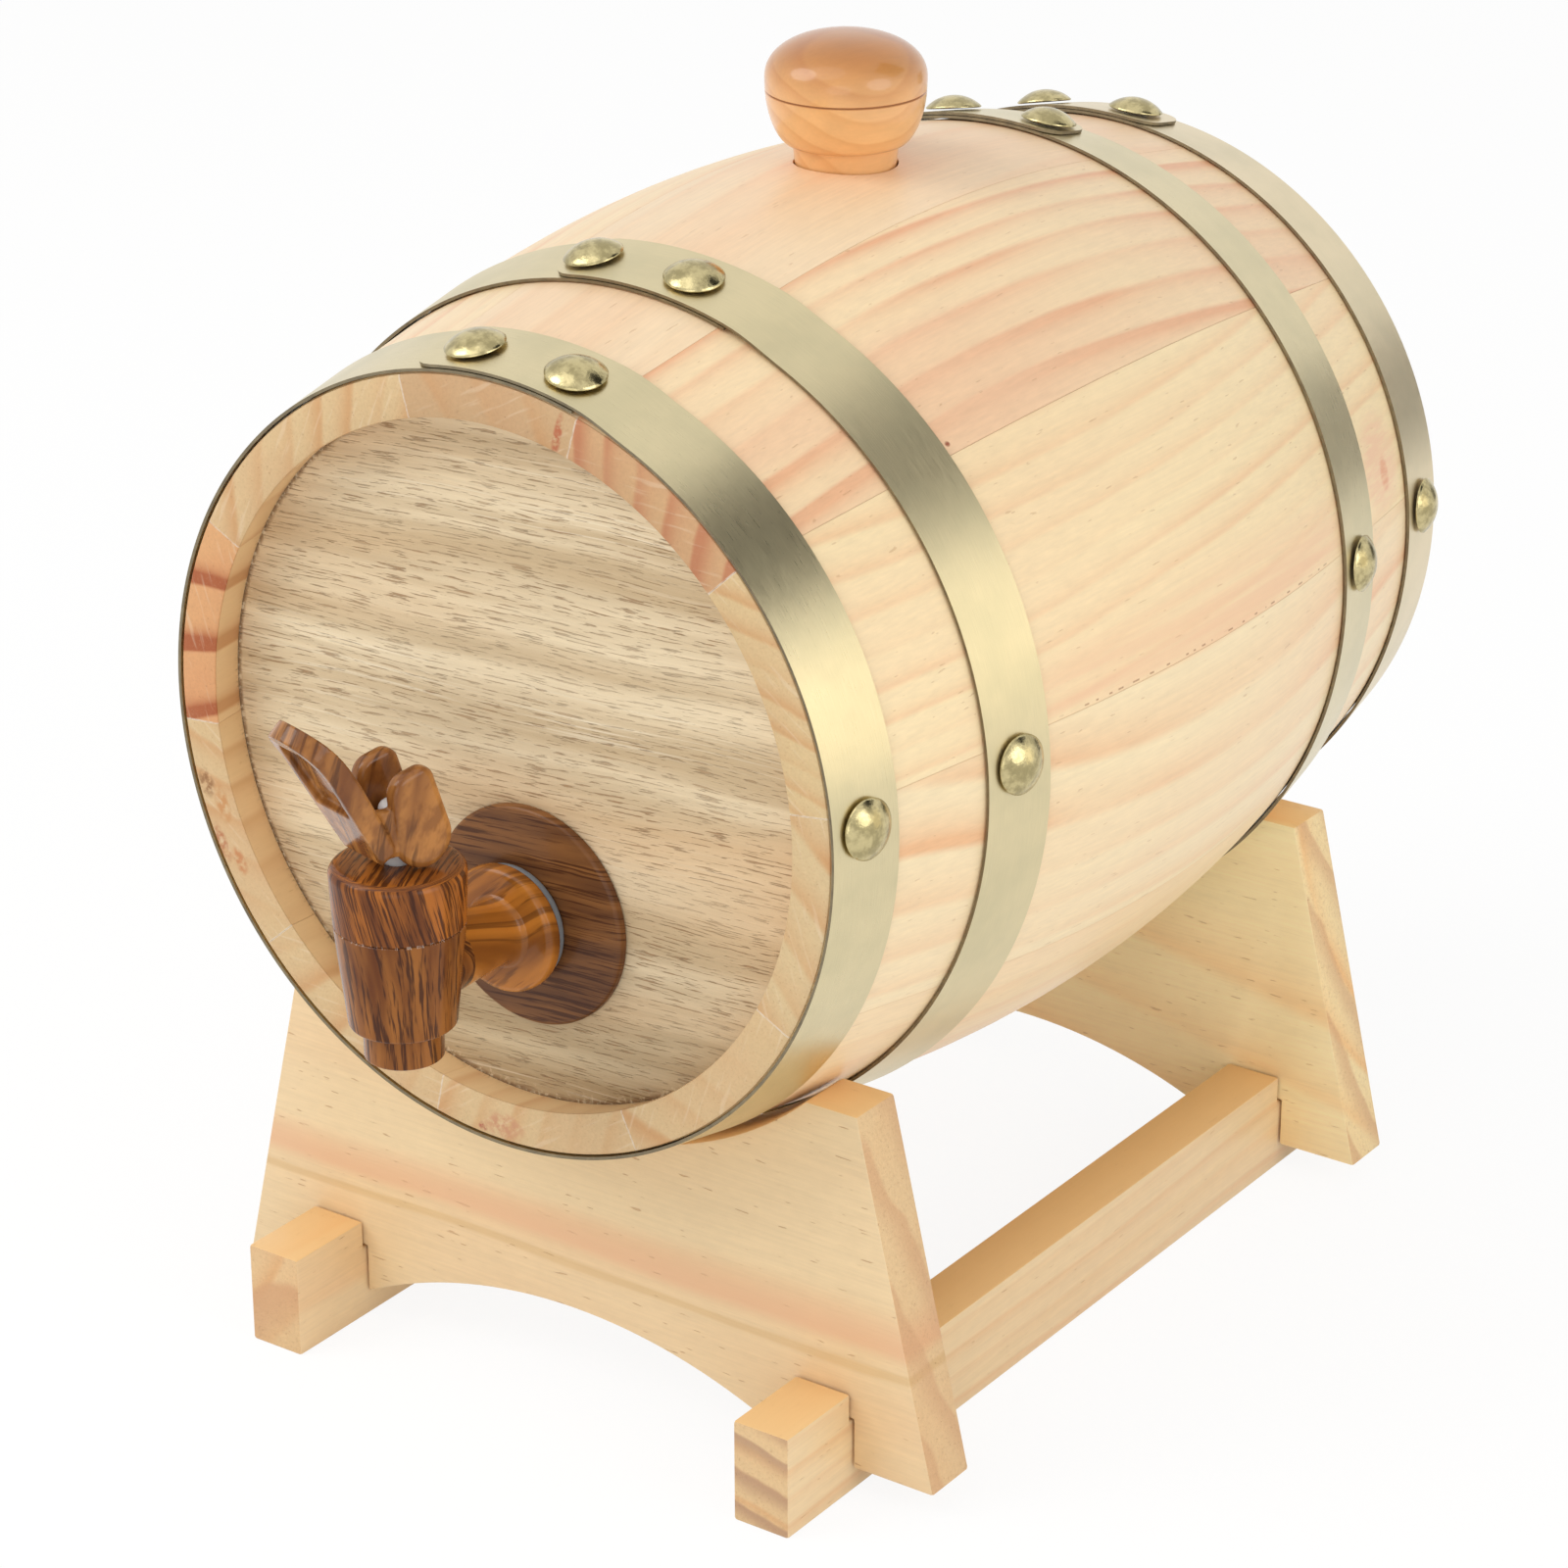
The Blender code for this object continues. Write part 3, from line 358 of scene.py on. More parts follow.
def stavePine(name, middleAngle, width, look):
    # staves are bent, so their grain follows the barrel's length and turn
    look = {**pine, **look}
    finish, start, x, y, z = newFinish(name, barrelCentre, (0, -math.radians(middleAngle), 0))
    length = abs(y)
    bent = start.math("MINIMUM", length, barrel["bend"])
    surface = barrel["bilge"] - (bent * length - bent * bent * 0.5) * bendShare
    radius = (x * x + z * z).root()
    turn = start.math("ARCTAN2", x, z)
    across = turn * (surface * 0.6 + barrel["bilge"] * 0.4)
    depth = surface - radius
    sunk = (barrel["bilge"] - surface) * look["bow"] + depth
    colour, relief, band = grain(start, across, sunk, y, look)
    # sawn ends are darker and dustier, and the wall inside them is orange
    sawn = length.smooth(barrel["half"] - 0.0004, barrel["half"] - 0.0002)
    saw = start.cloud(x * 90 + z * 60, z * 900 - x * 500, 0, 2.0)
    rough = start.cloud(x * 2600, y * 900, z * 2600, 2.0)
    colour = sawn.mixed((1.0, 1.0, 1.0), look["endTint"]).times(colour)
    colour = (sawn * band * 0.75).mixed(colour, look["endLate"])
    colour = (sawn * rough.smooth(0.5, 0.8) * 0.30).mixed(colour, staveTints["endPores"])
    colour = (sawn * saw.smooth(0.56, 0.70) * 0.22).mixed(colour, staveTints["sawLines"])
    smudged = start.cloud(x * 800, 0, z * 800, 3.0, 0.6).smooth(0.36, 0.60)
    colour = marked(colour, look["endMarks"], turn, radius, radius, sawn * smudged)
    colour = marked(colour, look["bellyMarks"], turn, radius, y, (1 - sawn) * (smudged * 0.6 + 0.4))
    inner = depth.smooth(barrel["wall"] - 0.0009, barrel["wall"] - 0.0004) * (1 - sawn)
    colour = (inner * 0.62).mixed(colour, staveTints["inside"])
    colour = (inner * band * 0.7).mixed(colour, staveTints["insideLate"])
    torn = start.cloud(turn * 160, y * 700, 0, 3.0, 0.7).smooth(0.52, 0.72)
    rim = inner * length.smooth(barrel["headFace"] + 0.0016, barrel["headFace"] + 0.0002)
    colour = (torn * rim * 0.8).mixed(colour, staveTints["torn"])
    # glued joint: a faint line on the belly, pale dust at the sawn end
    edge = math.radians(width / 2) - abs(turn)
    joint = 1 - (edge * radius).smooth(0.00004, 0.00022)
    colour = (joint * (1 - sawn) * 0.14).mixed(colour, staveTints["glue"])
    if "blushEdge" in look:
        streaky = start.cloud(x * 420, y * 16, 0, 2.0).smooth(0.32, 0.62)
        salmon = x.smooth(*look["blushEdge"]) * (streaky * 0.7 + 0.3) * length.smooth(0.075, 0.03)
        colour = (salmon * 0.75).mixed(colour, staveTints["salmon"])
        beside = 1 - abs(edge * radius - 0.0005).smooth(0.00006, 0.00022)
        broken = start.cloud(y * 480, 0, 0, 1.0).smooth(0.52, 0.58)
        dashes = beside * broken * x.smooth(0, 0.004) * length.smooth(0.046, 0.034)
        colour = (dashes * 0.75).mixed(colour, staveTints["dashes"])
    colour = (joint * sawn * (smudged * 0.5 + 0.25)).mixed(colour, staveTints["dust"])
    values = {
        "Base Color": colour,
        "Roughness": sawn * 0.25 + 0.42 + relief * 0.05,
        "Coat Weight": (1 - sawn) * 0.22,
        "Coat Roughness": 0.28,
        "Specular IOR Level": 0.4,
    }
    finishWith(start, values, relief + saw * sawn * 3, 0.00004)
    return finish


# Each stave: width in degrees, then what differs in its wood
staveLooks = (
    (30.9, {"pith": (0.090, -0.060), "ring": 0.0085, "flushing": 0.65, "strength": 0.55, "seed": 1.3,
            "early": (0.90, 0.70, 0.46), "endTint": (0.65, 0.56, 0.46), "bow": 0.3,
            "endMarks": ((13.0, 0.0590, 0.0008, 0.0036, (0.48, 0.15, 0.07)),)}),
    (30.9, {"pith": (0.056, -0.016), "ring": 0.0064, "flushing": 0.85, "strength": 1.25, "seed": 2.9,
            "early": (0.91, 0.70, 0.43), "late": (0.82, 0.44, 0.24), "flush": (0.87, 0.56, 0.35),
            "endTint": (0.68, 0.55, 0.46), "endLate": (0.50, 0.20, 0.10), "bow": 0.9, "slope": -0.05,
            "bellyMarks": ((14.0, -0.0446, 0.0005, 0.0005, (0.34, 0.10, 0.05)),)}),
    (35.6, {"pith": (-0.052, -0.020), "ring": 0.0046, "flushing": 0.25, "strength": 0.45, "seed": 4.2,
            "early": (0.94, 0.75, 0.45), "bow": 0.9, "slope": 0.06, "blushEdge": (0.008, 0.019),
            "bellyMarks": ((10.0, 0.0690, 0.0085, 0.0080, (0.90, 0.59, 0.37)),
                           (12.0, 0.0705, 0.0030, 0.0018, (0.80, 0.39, 0.22)))}),
    (35.0, {"pith": (-0.060, -0.034), "ring": 0.0078, "flushing": 0.35, "strength": 0.95, "seed": 6.6,
            "early": (0.93, 0.755, 0.475), "bow": 0.8, "slope": 0.02,
            "late": (0.86, 0.50, 0.26), "sharp": 1.8}),
    (37.0, {"pith": (0.060, -0.030), "ring": 0.0078, "flushing": 0.3, "strength": 0.5, "seed": 8.1}),
    (37.0, {"pith": (-0.050, -0.020), "ring": 0.0066, "flushing": 0.45, "strength": 0.7, "seed": 9.7,
            "endMarks": ((10.0, 0.0618, 0.0009, 0.0008, (0.42, 0.10, 0.06)),
                         (6.0, 0.0605, 0.0040, 0.0022, (0.60, 0.31, 0.17)))}),
    (37.0, {"pith": (0.070, 0.030), "ring": 0.0072, "flushing": 0.3, "strength": 0.6, "seed": 11.4}),
    (36.0, {"pith": (-0.060, -0.040), "ring": 0.0060, "flushing": 0.4, "strength": 0.65, "seed": 13.2,
            "endMarks": ((8.0, 0.0612, 0.0024, 0.0016, (0.34, 0.17, 0.07)),
                         (4.5, 0.0590, 0.0034, 0.0015, (0.60, 0.30, 0.12)),
                         (-1.5, 0.0620, 0.0032, 0.0012, (0.50, 0.20, 0.09)),
                         (-5.0, 0.0598, 0.0024, 0.0013, (0.58, 0.26, 0.11)))}),
    (33.0, {"pith": (0.160, -0.050), "ring": 0.0124, "flushing": 0.75, "strength": 9.0, "seed": 16.5,
            "late": (0.72, 0.36, 0.18), "endTint": (0.78, 0.55, 0.41), "endLate": (0.34, 0.07, 0.02),
            "sharp": 9.0, "wander": 0.002}),
    (47.6, {"pith": (-0.065, -0.045), "ring": 0.0064, "flushing": 0.4, "strength": 0.75, "seed": 17.3}),
)


def staveSection():
    # outline of a stave cut lengthwise, as pairs of y and radius
    half, wall = barrel["half"], barrel["wall"]
    outer = [(y, woodRadius(y)) for y in (half * (i / 20 - 1) for i in range(41))]
    front = barrel["headFace"] + barrel["grooveGap"]
    back = barrel["headFace"] - barrel["headThickness"] - barrel["grooveGap"]
    groove = woodRadius(front) - wall + barrel["grooveDepth"]
    stops = [half, front, front, back, back] + [back * i / 8 for i in range(7, 0, -1)]
    inner = [(y, woodRadius(y) - wall) for y in stops]
    inner[2] = (front, groove)
    inner[3] = (back, groove)
    return outer + inner + [(0, woodRadius(0) - wall)] + [(-y, radius) for y, radius in reversed(inner)]


def makeStave(index, start, width, look):
    half = math.radians(width / 2) - barrel["jointGap"] / barrel["chime"]
    bm = bmesh.new()
    verts = [bm.verts.new((0, y, radius)) for y, radius in staveSection()]
    swung(bm, -half, "Y")
    face = bm.faces.new(verts)
    steps = math.ceil(width / 2.5)
    geom = [face, *face.edges, *verts]
    bmesh.ops.spin(bm, geom=geom, cent=(0, 0, 0), axis=(0, 1, 0), angle=2 * half, steps=steps)
    # fine edges inside and outside both sawn ends
    ends = []
    for edge in bm.edges:
        one, other = (vert.co for vert in edge.verts)
        sawn = min(abs(one.y), abs(other.y)) > barrel["half"] - 1e-6
        if sawn and abs(one.xz.length - other.xz.length) < 1e-6:
            ends.append(edge)
    bevelled(bm, ends, barrel["chimeEdge"], 2)
    middleAngle = start + width / 2
    shifted(swung(bm, math.radians(middleAngle), "Y"), barrelCentre)
    finish = stavePine(f"pine of stave {index}", middleAngle, width, look)
    return addPiece(f"stave{index:02}Wood", bm, "barrel", finish, f"stave_{index:02}")


staves = []
staveAngle = -14.4
for index, (width, look) in enumerate(staveLooks, 1):
    staves.append(makeStave(index, staveAngle, width, look))
    staveAngle += width
print("staves made")

# Bung, turned from one block, with its tapered plug in the top stave
bung = {
    "y": 0.0244185,
    "seat": barrel["axisHeight"] + 0.0752,
    "neckRadius": 0.00865,
    "neckHeight": 0.0028,
    "footRadius": 0.0072,
    "plugDepth": 0.012,
    "plugEdge": 0.0004,
    "step": 0.0003,
    "collar": 0.0093,
    "radius": 0.0132,
    "wideHeight": 0.0136,
    "bowl": 0.62,
    "height": 0.02098,
    "grooveHeight": 0.0116,
    "grooveWidth": 0.00022,
    "grooveCut": 0.00030,
    "crownPower": 2.2,
    "light": (0.80, 0.46, 0.19),
    "dark": (0.66, 0.31, 0.10),
    "line": (0.47, 0.21, 0.085),
    # foot is painted light that lifts the side below the groove; crown makes the top darker
    "foot": (1.14, 1.11, 1.12),
    "crown": (0.64, 0.44, 0.24),
}


def bungSide(height):
    share = (height - bung["neckHeight"]) / (bung["wideHeight"] - bung["neckHeight"])
    return bung["collar"] + (bung["radius"] - bung["collar"]) * math.sin(share ** bung["bowl"] * math.pi / 2)


def bungLacquer():
    middle = (0, bung["y"], bung["seat"] + 0.010)
    finish, start, x, y, z = newFinish("honey lacquer", middle, (0.25, 0.5, 0.6))
    wave = start.cloud(x * 60, y * 60, z * 60, 2.0)
    side = x + 0.016 + (wave - 0.5) * 0.004
    ring = start.math("FRACT", (side * side + (z + 0.012) * (z + 0.012)).root() / 0.0034)
    band = ring**2.0 * (1 - ring.smooth(0.85, 1.0))
    colour = (band * 0.65).mixed(bung["light"], bung["dark"])
    cloudy = start.cloud(x * 220, y * 90, z * 220, 3.0, 0.6)
    colour = cloudy.shade(colour, 0.84, 1.12)
    fibre = start.cloud(x * 2400, y * 120, z * 2400, 2.0)
    colour = fibre.shade(colour, 0.95, 1.05)
    # the side below the groove is lightened as painted light and the crown is darker; the fine groove has
    # kept the stain
    above = start.placed((0, 0, bung["seat"] + bung["grooveHeight"]))[2]
    colour = above.smooth(-0.003, 0.009).mixed(bung["foot"], bung["crown"]).times(colour)
    colour = (1 - abs(above).smooth(0.00008, 0.00026)).mixed(colour, bung["line"])
    values = {"Base Color": colour, "Roughness": cloudy * 0.1 + 0.27, "Specular IOR Level": 0.35}
    finishWith(start, {**values, "Coat Weight": 0.6, "Coat Roughness": 0.10}, cloudy, 0.00005)
    return finish


def makeBung():
    neck, groove, foot = bung["neckHeight"], bung["grooveHeight"], -bung["plugDepth"]
    low, high = groove - bung["grooveWidth"], groove + bung["grooveWidth"]
    edge, step = bung["plugEdge"], bung["step"]
    profile = [(0, foot), (bung["footRadius"] - edge, foot), (bung["footRadius"], foot + edge)]
    profile += [(bung["neckRadius"], neck), (bung["neckRadius"] + step, neck + step / 3)]
    for i in range(15):
        height = neck + step + (low - neck - step) * i / 14
        profile.append((bungSide(height), height))
    profile += [(bungSide(groove) - bung["grooveCut"], groove), (bungSide(high), high)]
    power = bung["crownPower"]
    for i in range(20):
        share = math.sin(i / 19 * math.pi / 2)
        radius = bung["radius"] * max(1 - share**power, 0) ** (1 / power)
        profile.append((radius, bung["wideHeight"] + (bung["height"] - bung["wideHeight"]) * share))
    bm = shifted(turned(profile, 72), (0, bung["y"], bung["seat"]))
    return addPiece("bungTurned", bm, "bung", bungLacquer(), "bung", 40)


def drillBungHole(stave):
    taper = (bung["neckRadius"] - bung["footRadius"]) / (bung["neckHeight"] + bung["plugDepth"])
    reach = 0.002
    low, high = bung["footRadius"] + seatGap - taper * reach, bung["neckRadius"] + seatGap
    foot, top = -bung["plugDepth"] - reach, bung["neckHeight"]
    bm = shifted(turned([(0, foot), (low, foot), (high, top), (0, top)], 48), (0, bung["y"], bung["seat"]))
    bmesh.ops.recalc_face_normals(bm, faces=bm.faces[:])
    drill = newObject("drill", bm)
    cut = stave.modifiers.new("bung hole", "BOOLEAN")
    cut.object = drill
    cut.operation = "DIFFERENCE"
    settle(stave)
    bpy.data.objects.remove(drill)


makeBung()
drillBungHole(staves[0])
print("bung made")


# Heads, sawn from a grey-beige wood with fine dark pores along X
head = {
    "radius": 0.0593,
    "edge": 0.0004,
    "rim": 0.0564,
    "pale": (0.86, 0.71, 0.48),
    "grey": (0.61, 0.46, 0.275),
    "tan": (0.73, 0.50, 0.28),
    "white": (0.93, 0.83, 0.64),
    "pore": (0.34, 0.175, 0.075),
    # painted shade: the head's lower part is darkened, as the chime shades it from the light above
    "shade": (0.74, 0.71, 0.66),
    "torn": (0.30, 0.17, 0.08),
    "dust": (0.80, 0.66, 0.45),
}


def headWood(name, lean):
    finish, start, x, _, z = newFinish(name, (0, 0, barrel["axisHeight"]), (0, math.radians(lean), 0))
    drift = start.cloud(x * 9, 0, z * 22, 2.0)
    across = z + (drift - 0.5) * 0.010
    plank = start.cloud(x * 4, 4, across * 105, 3.0, 0.6)
    streak = start.cloud(x * 22, 9, across * 1500, 4.0, 0.7)
    colour = plank.smooth(0.37, 0.62).mixed(head["grey"], head["pale"])
    # painted shade: the head darkens towards the bottom
    colour = z.smooth(-0.018, -0.050).mixed((1.0, 1.0, 1.0), head["shade"]).times(colour)
    warm = start.cloud(x * 8 + 5, 0, z * 45, 2.0).smooth(0.45, 0.75)
    colour = (warm * 0.7).mixed(colour, head["tan"])
    colour = streak.shade(colour, 0.84, 1.13)
    silk = start.cloud(x * 20 + 8, 0, across * 2200, 2.0).smooth(0.54, 0.66)
    bright = start.cloud(x * 5 + 2, 0, across * 60, 2.0).smooth(0.48, 0.64)
    colour = (silk * bright * 0.5).mixed(colour, head["white"])
    fibre = start.cloud(x * 60, 0, across * 3600, 2.0)
    colour = fibre.shade(colour, 0.92, 1.08)
    dense = start.cloud(x * 6 + 1, 2, across * 95, 2.0).smooth(0.40, 0.60) * 0.8 + 0.2
    pores = start.cloud(x * 150 + 3, 0, across * 2900, 3.0, 0.6).smooth(0.56, 0.64)
    colour = (pores * dense * 0.72).mixed(colour, head["pore"])
    # torn rim, where the groove's edge left splinters
    away = (x * x + z * z).root()
    ragged = start.cloud(x * 900, 0, z * 900, 3.0, 0.7)
    splinter = away.smooth(head["rim"], head["rim"] + 0.0008) * ragged.smooth(0.36, 0.54)
    colour = (splinter * 0.85).mixed(colour, head["torn"])
    pale = away.smooth(head["rim"] - 0.0012, head["rim"] + 0.0002) * ragged.smooth(0.46, 0.34)
    colour = (pale * 0.5).mixed(colour, head["dust"])
    values = {"Base Color": colour, "Roughness": 0.62 + fibre * 0.1, "Specular IOR Level": 0.3}
    finishWith(start, values, fibre * 0.4 + streak * 0.6 - pores - splinter, 0.00009)
    return finish


def makeHead(name, node, lean):
    low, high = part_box(node)
    radius, deep, edge = head["radius"], high.y - low.y, head["edge"]
    profile = [(0, 0), (radius - edge, 0), (radius, -edge)]
    profile += [(radius, edge - deep), (radius - edge, -deep), (0, -deep)]
    bm = towardsFront(turned(profile, 96), (0, low.y, barrel["axisHeight"]))
    return addPiece(name, bm, "barrel", headWood(name + " wood", lean), node)


makeHead("frontHead", "front_head", 2.0)
makeHead("rearHead", "rear_head", -4.0)
print("heads made")

# Hoops: brushed brass strip that laps over itself under the two top nails
hoop = {
    "width": 0.0135,
    "thickness": 0.0005,
    "lapGap": 0.00015,
    "lapTurn": 28.0,
    "lapRamp": 9.0,
    "endRadius": 0.0045,
    "step": 1.5,
    "colour": (0.71, 0.61, 0.375),
    "worn": (0.64, 0.56, 0.345),
    "spot": (0.45, 0.36, 0.20),
    "hair": (0.90, 0.84, 0.66),
    # cut and cutBright: the strip's cut edge is painted dark, partly its own colour, partly painted shade of
    # the gap under the hoop and a painted dark reflection
    "cut": (0.11, 0.09, 0.065),
    "cutBright": (0.36, 0.29, 0.17),
}


def brushedBrass(name, satin, tint):
    finish, start, x, y, z = newFinish(name, barrelCentre)
    turn = start.math("ARCTAN2", x, z)
    brush = start.cloud(turn * 14, y * 5200, 0, 3.0, 0.65)
    cloudy = start.cloud(turn * 5, y * 60, 2, 3.0, 0.6)
    hair = start.cloud(turn * 6 + 9, y * 6500, 0, 1.0).smooth(0.74, 0.80)
    spots = start.cloud(turn * 90, y * 1100, 5, 2.0).smooth(0.70, 0.78)
    colour = cloudy.smooth(0.35, 0.7).mixed(hoop["colour"], hoop["worn"])
    colour = (spots * 0.08).mixed(colour, hoop["spot"])
    colour = brush.shade(colour, 0.90, 1.09).times(tint)
    colour = (hair * 0.3).mixed(colour, hoop["hair"])
    rough = brush * 0.16 + 0.19 + satin + cloudy * 0.06
    values = {"Base Color": colour, "Roughness": rough, "Metallic": 1.0}
    finishWith(start, values, brush, 0.00002)
    return finish


def cutEdgeAndShade():
    # the strip's cut edge: partly its own dark colour, partly painted shade of the gap under the hoop and a
    # painted dark reflection
    finish, start, x, y, z = newFinish("cut brass edge and painted shade", barrelCentre)
    wear = start.cloud(x * 500, y * 900, z * 500, 3.0, 0.6)
    colour = wear.mixed(hoop["cut"], hoop["cutBright"])
    finishWith(start, {"Base Color": colour, "Roughness": 0.45, "Metallic": 0.7}, None, 0.0)
    return finish


brightBrass = brushedBrass("brushed brass", 0.0, (1.0, 1.0, 1.0))
satinBrass = brushedBrass("satin brass", 0.06, (1.0, 1.0, 1.0))
paleBrass = brushedBrass("pale brass", 0.02, (1.06, 1.04, 1.11))
brassEdgeAndShade = cutEdgeAndShade()


def makeHoop(name, node, place, lapAngle, direction, brass):
    radius = woodRadius(place) + seatGap
    corner = hoop["endRadius"]
    endStops = (0, 0.03, 0.1, 0.2, 0.35, 0.5, 0.7, 1)
    angles = [math.degrees(corner * share / radius) for share in endStops]
    count = round((360 + hoop["lapTurn"] - angles[-1]) / hoop["step"])
    rest = (360 + hoop["lapTurn"] - angles[-1]) / count
    angles += [angles[-1] + rest * (i + 1) for i in range(count)]
    shares = (-1, -0.97, -0.9, -0.5, 0, 0.5, 0.9, 0.97, 1)
    stepUp = hoop["thickness"] + hoop["lapGap"]
    halfWidth = hoop["width"] / 2
    bm = bmesh.new()
    bmesh.ops.create_grid(bm, x_segments=len(angles) - 1, y_segments=len(shares) - 1, size=1)
    verts = sorted(bm.verts, key=lambda vert: (round(vert.co.x, 5), vert.co.y))
    lean = (woodRadius(place + halfWidth) - woodRadius(place - halfWidth)) / hoop["width"]
    for i, vert in enumerate(verts):
        turn = angles[i // len(shares)]
        share = shares[i % len(shares)]
        inset = corner - min(math.radians(turn) * radius, corner)
        half = halfWidth - corner + math.sqrt(corner**2 - inset**2)
        over = min(max((hoop["lapTurn"] + hoop["lapRamp"] - turn) / hoop["lapRamp"], 0), 1)
        over = over * over * (3 - 2 * over)
        y = place + half * share
        edge = place + math.copysign(halfWidth, share)
        far = max(woodRadius(edge), woodRadius(place) + lean * (edge - place))
        out = far + lean * (y - edge) + seatGap + stepUp * over
        angle = math.radians(lapAngle + direction * turn)
        vert.co = (out * math.sin(angle), y, out * math.cos(angle))
    bmesh.ops.recalc_face_normals(bm, faces=bm.faces[:])
    face = bm.faces[0]
    if face.normal.dot(face.calc_center_median() - Vector((0, place, 0))) < 0:
        bmesh.ops.reverse_faces(bm, faces=bm.faces[:])
    piece = newObject(name, shifted(bm, barrelCentre), brass, brassEdgeAndShade)
    strip = piece.modifiers.new("strip", "SOLIDIFY")
    strip.thickness = hoop["thickness"]
    strip.offset = 1
    strip.material_offset_rim = 1
    settle(piece)
    return handOver(piece, "barrel", node, 40)


# Nails: domed brass heads, a little battered
nail = {
    "radius": 0.0048,
    "height": 0.0023,
    "brim": 0.0003,
    "sideAngle": 86.0,
    "colour": (0.60, 0.51, 0.27),
    "dark": (0.38, 0.32, 0.16),
}


def batteredBrass():
    finish, start, x, y, z = newFinish("battered brass", barrelCentre)
    blotch = start.cloud(x * 420, y * 420, z * 420, 4.0, 0.62)
    fine = start.cloud(x * 1900, y * 1900, z * 1900, 3.0, 0.6)
    colour = blotch.smooth(0.38, 0.62).mixed(nail["dark"], nail["colour"])
    colour = fine.shade(colour, 0.88, 1.10)
    rough = blotch * 0.16 + fine * 0.10 + 0.08
    values = {"Base Color": colour, "Roughness": rough, "Metallic": 1.0}
    finishWith(start, values, blotch * 0.8 + fine * 0.2, 0.00012)
    return finish


nailBrass = batteredBrass()


def makeNail(name, node, place, angle, onLap):
    sheets = 2 * hoop["thickness"] + hoop["lapGap"] if onLap else hoop["thickness"]
    seat = sheets + 2 * seatGap
    radius, height = nail["radius"], nail["height"] - nail["brim"]
    domeRadius = (radius**2 + height**2) / (2 * height)
    opening = math.degrees(math.asin(radius / domeRadius))
    centre = (0, seat + nail["height"] - domeRadius)
    profile = rounding(centre, domeRadius, 90, 90 - opening, 12)
    profile += [(radius, seat + nail["brim"] / 2), (radius - 0.0002, seat), (0, seat)]
    bm = turned(profile, 48)
    shift = Vector((angle, place * 900, 3.7))
    for vert in bm.verts:
        if vert.co.z > seat + 0.0002:
            vert.co *= 1 + 0.0045 * noise.noise(vert.co * 620 + shift)
    turn = math.radians(angle)
    spin = Matrix.Rotation(turn, 4, "Y") @ Matrix.Rotation(math.atan(woodSlope(place)), 4, "X")
    out = woodRadius(place)
    seatPlace = Vector((out * math.sin(turn), place, out * math.cos(turn))) + Vector(barrelCentre)
    bmesh.ops.transform(bm, matrix=Matrix.Translation(seatPlace) @ spin, verts=bm.verts)
    return addPiece(name, bm, "barrel", nailBrass, node, 50)


headHoopPlace = barrel["half"] - hoop["width"] / 2
hoops = (
    ("front_head", -headHoopPlace, -12.4, 1, (-5.1, 11.4), brightBrass),
    ("front_quarter", -0.05305, -10.5, 1, (-6.8, 8.6), satinBrass),
    ("rear_quarter", 0.05305, 9.7, -1, (-9.7, 5.7), brightBrass),
    ("rear_head", headHoopPlace, 9.9, -1, (-12.4, 4.1), paleBrass),
)
for label, place, lapAngle, direction, lapNails, brass in hoops:
    short = label.title().replace("_", "")
    makeHoop(f"hoop{short}", f"{label}_hoop", place, lapAngle, direction, brass)
    for i, angle in enumerate((*lapNails, nail["sideAngle"], -nail["sideAngle"])):
        makeNail(f"nail{short}{i + 1}", f"{label}_nail_{i + 1}", place, angle, i < 2)
print("hoops and nails made")

# Tap: everything hangs on the stem's axis and the upright axis of its body
tap = {
    "y": -0.09398,
    "stemHeight": 0.0903,
    "stemRadius": 0.0050,
    "stemBodyRadius": 0.0067,
    "bodyTop": 0.0105,
    "bodyTopRadius": 0.0102,
    "bodyFoot": -0.0063,
    "bodyFootRadius": 0.0084,
    "nozzleRadius": 0.0062,
    "nozzleFoot": -0.0118,
    "outletRadius": 0.0042,
    "capTop": 0.0205,
    "capRadius": 0.01055,
    "capEdge": 0.0018,
    "flangeRadius": 0.0105,
    "rosetteRadius": 0.0183,
    "rosetteEdge": 0.0008,
    "outletDepth": 0.008,
    "nozzleEdge": 0.0004,
    "footEdge": 0.0006,
    "fineEdge": 0.0003,
    "flangeThickness": 0.0030,
    "flangeFrontEdge": 0.0013,
    "flangeBackEdge": 0.0009,
    "stemStart": 0.0104,
    "shankRadius": 0.0055,
    "washerBore": 0.0058,
    "washerEdge": 0.0005,
    "capWall": 0.0086,
    "capHole": 0.0023,
    "capDepth": 0.003,
    "capSeam": 0.00006,
    "hairEdge": 0.00015,
}
tapCentre = (0, tap["y"], tap["stemHeight"])

# Wood print of the tap: broad and fine streaks are counts per metre
woodPrint = {
    "orange": (0.34, 0.125, 0.026),
    "brown": (0.150, 0.045, 0.012),
    "dark": (0.045, 0.013, 0.006),
    "broad": 190,
    "fine": 900,
    "gap": 0.50,
    "lines": 0.85,
    "drift": 0.003,
    "speck": (0.75, 0.68, 0.6),
    "flatTop": 0.0,
    "rough": 0.24,
    "coat": 0.12,
}


def printed(start, a, w, look):
    # wood print: a lies across its streaks and w along them
    drift = start.cloud(a * 55, w * 30, look["seed"], 2.0)
    a = a + (drift - 0.5) * look["drift"]
    broad = start.cloud(a * look["broad"], w * 26, look["seed"], 3.0, 0.6)
    fine = start.cloud(a * look["fine"], w * 70, look["seed"] + 4, 3.0, 0.7)
    colour = broad.smooth(0.34, 0.62).mixed(look["brown"], look["orange"])
    lines = fine.smooth(look["gap"], look["gap"] + 0.10)
    return (lines * look["lines"]).mixed(colour, look["dark"]), fine


def glossy(start, colour, look, relief):
    values = {"Base Color": colour, "Roughness": look["rough"], "Specular IOR Level": 0.14}
    finishWith(start, {**values, "Coat Weight": look["coat"], "Coat Roughness": 0.05}, relief, 0.00003)


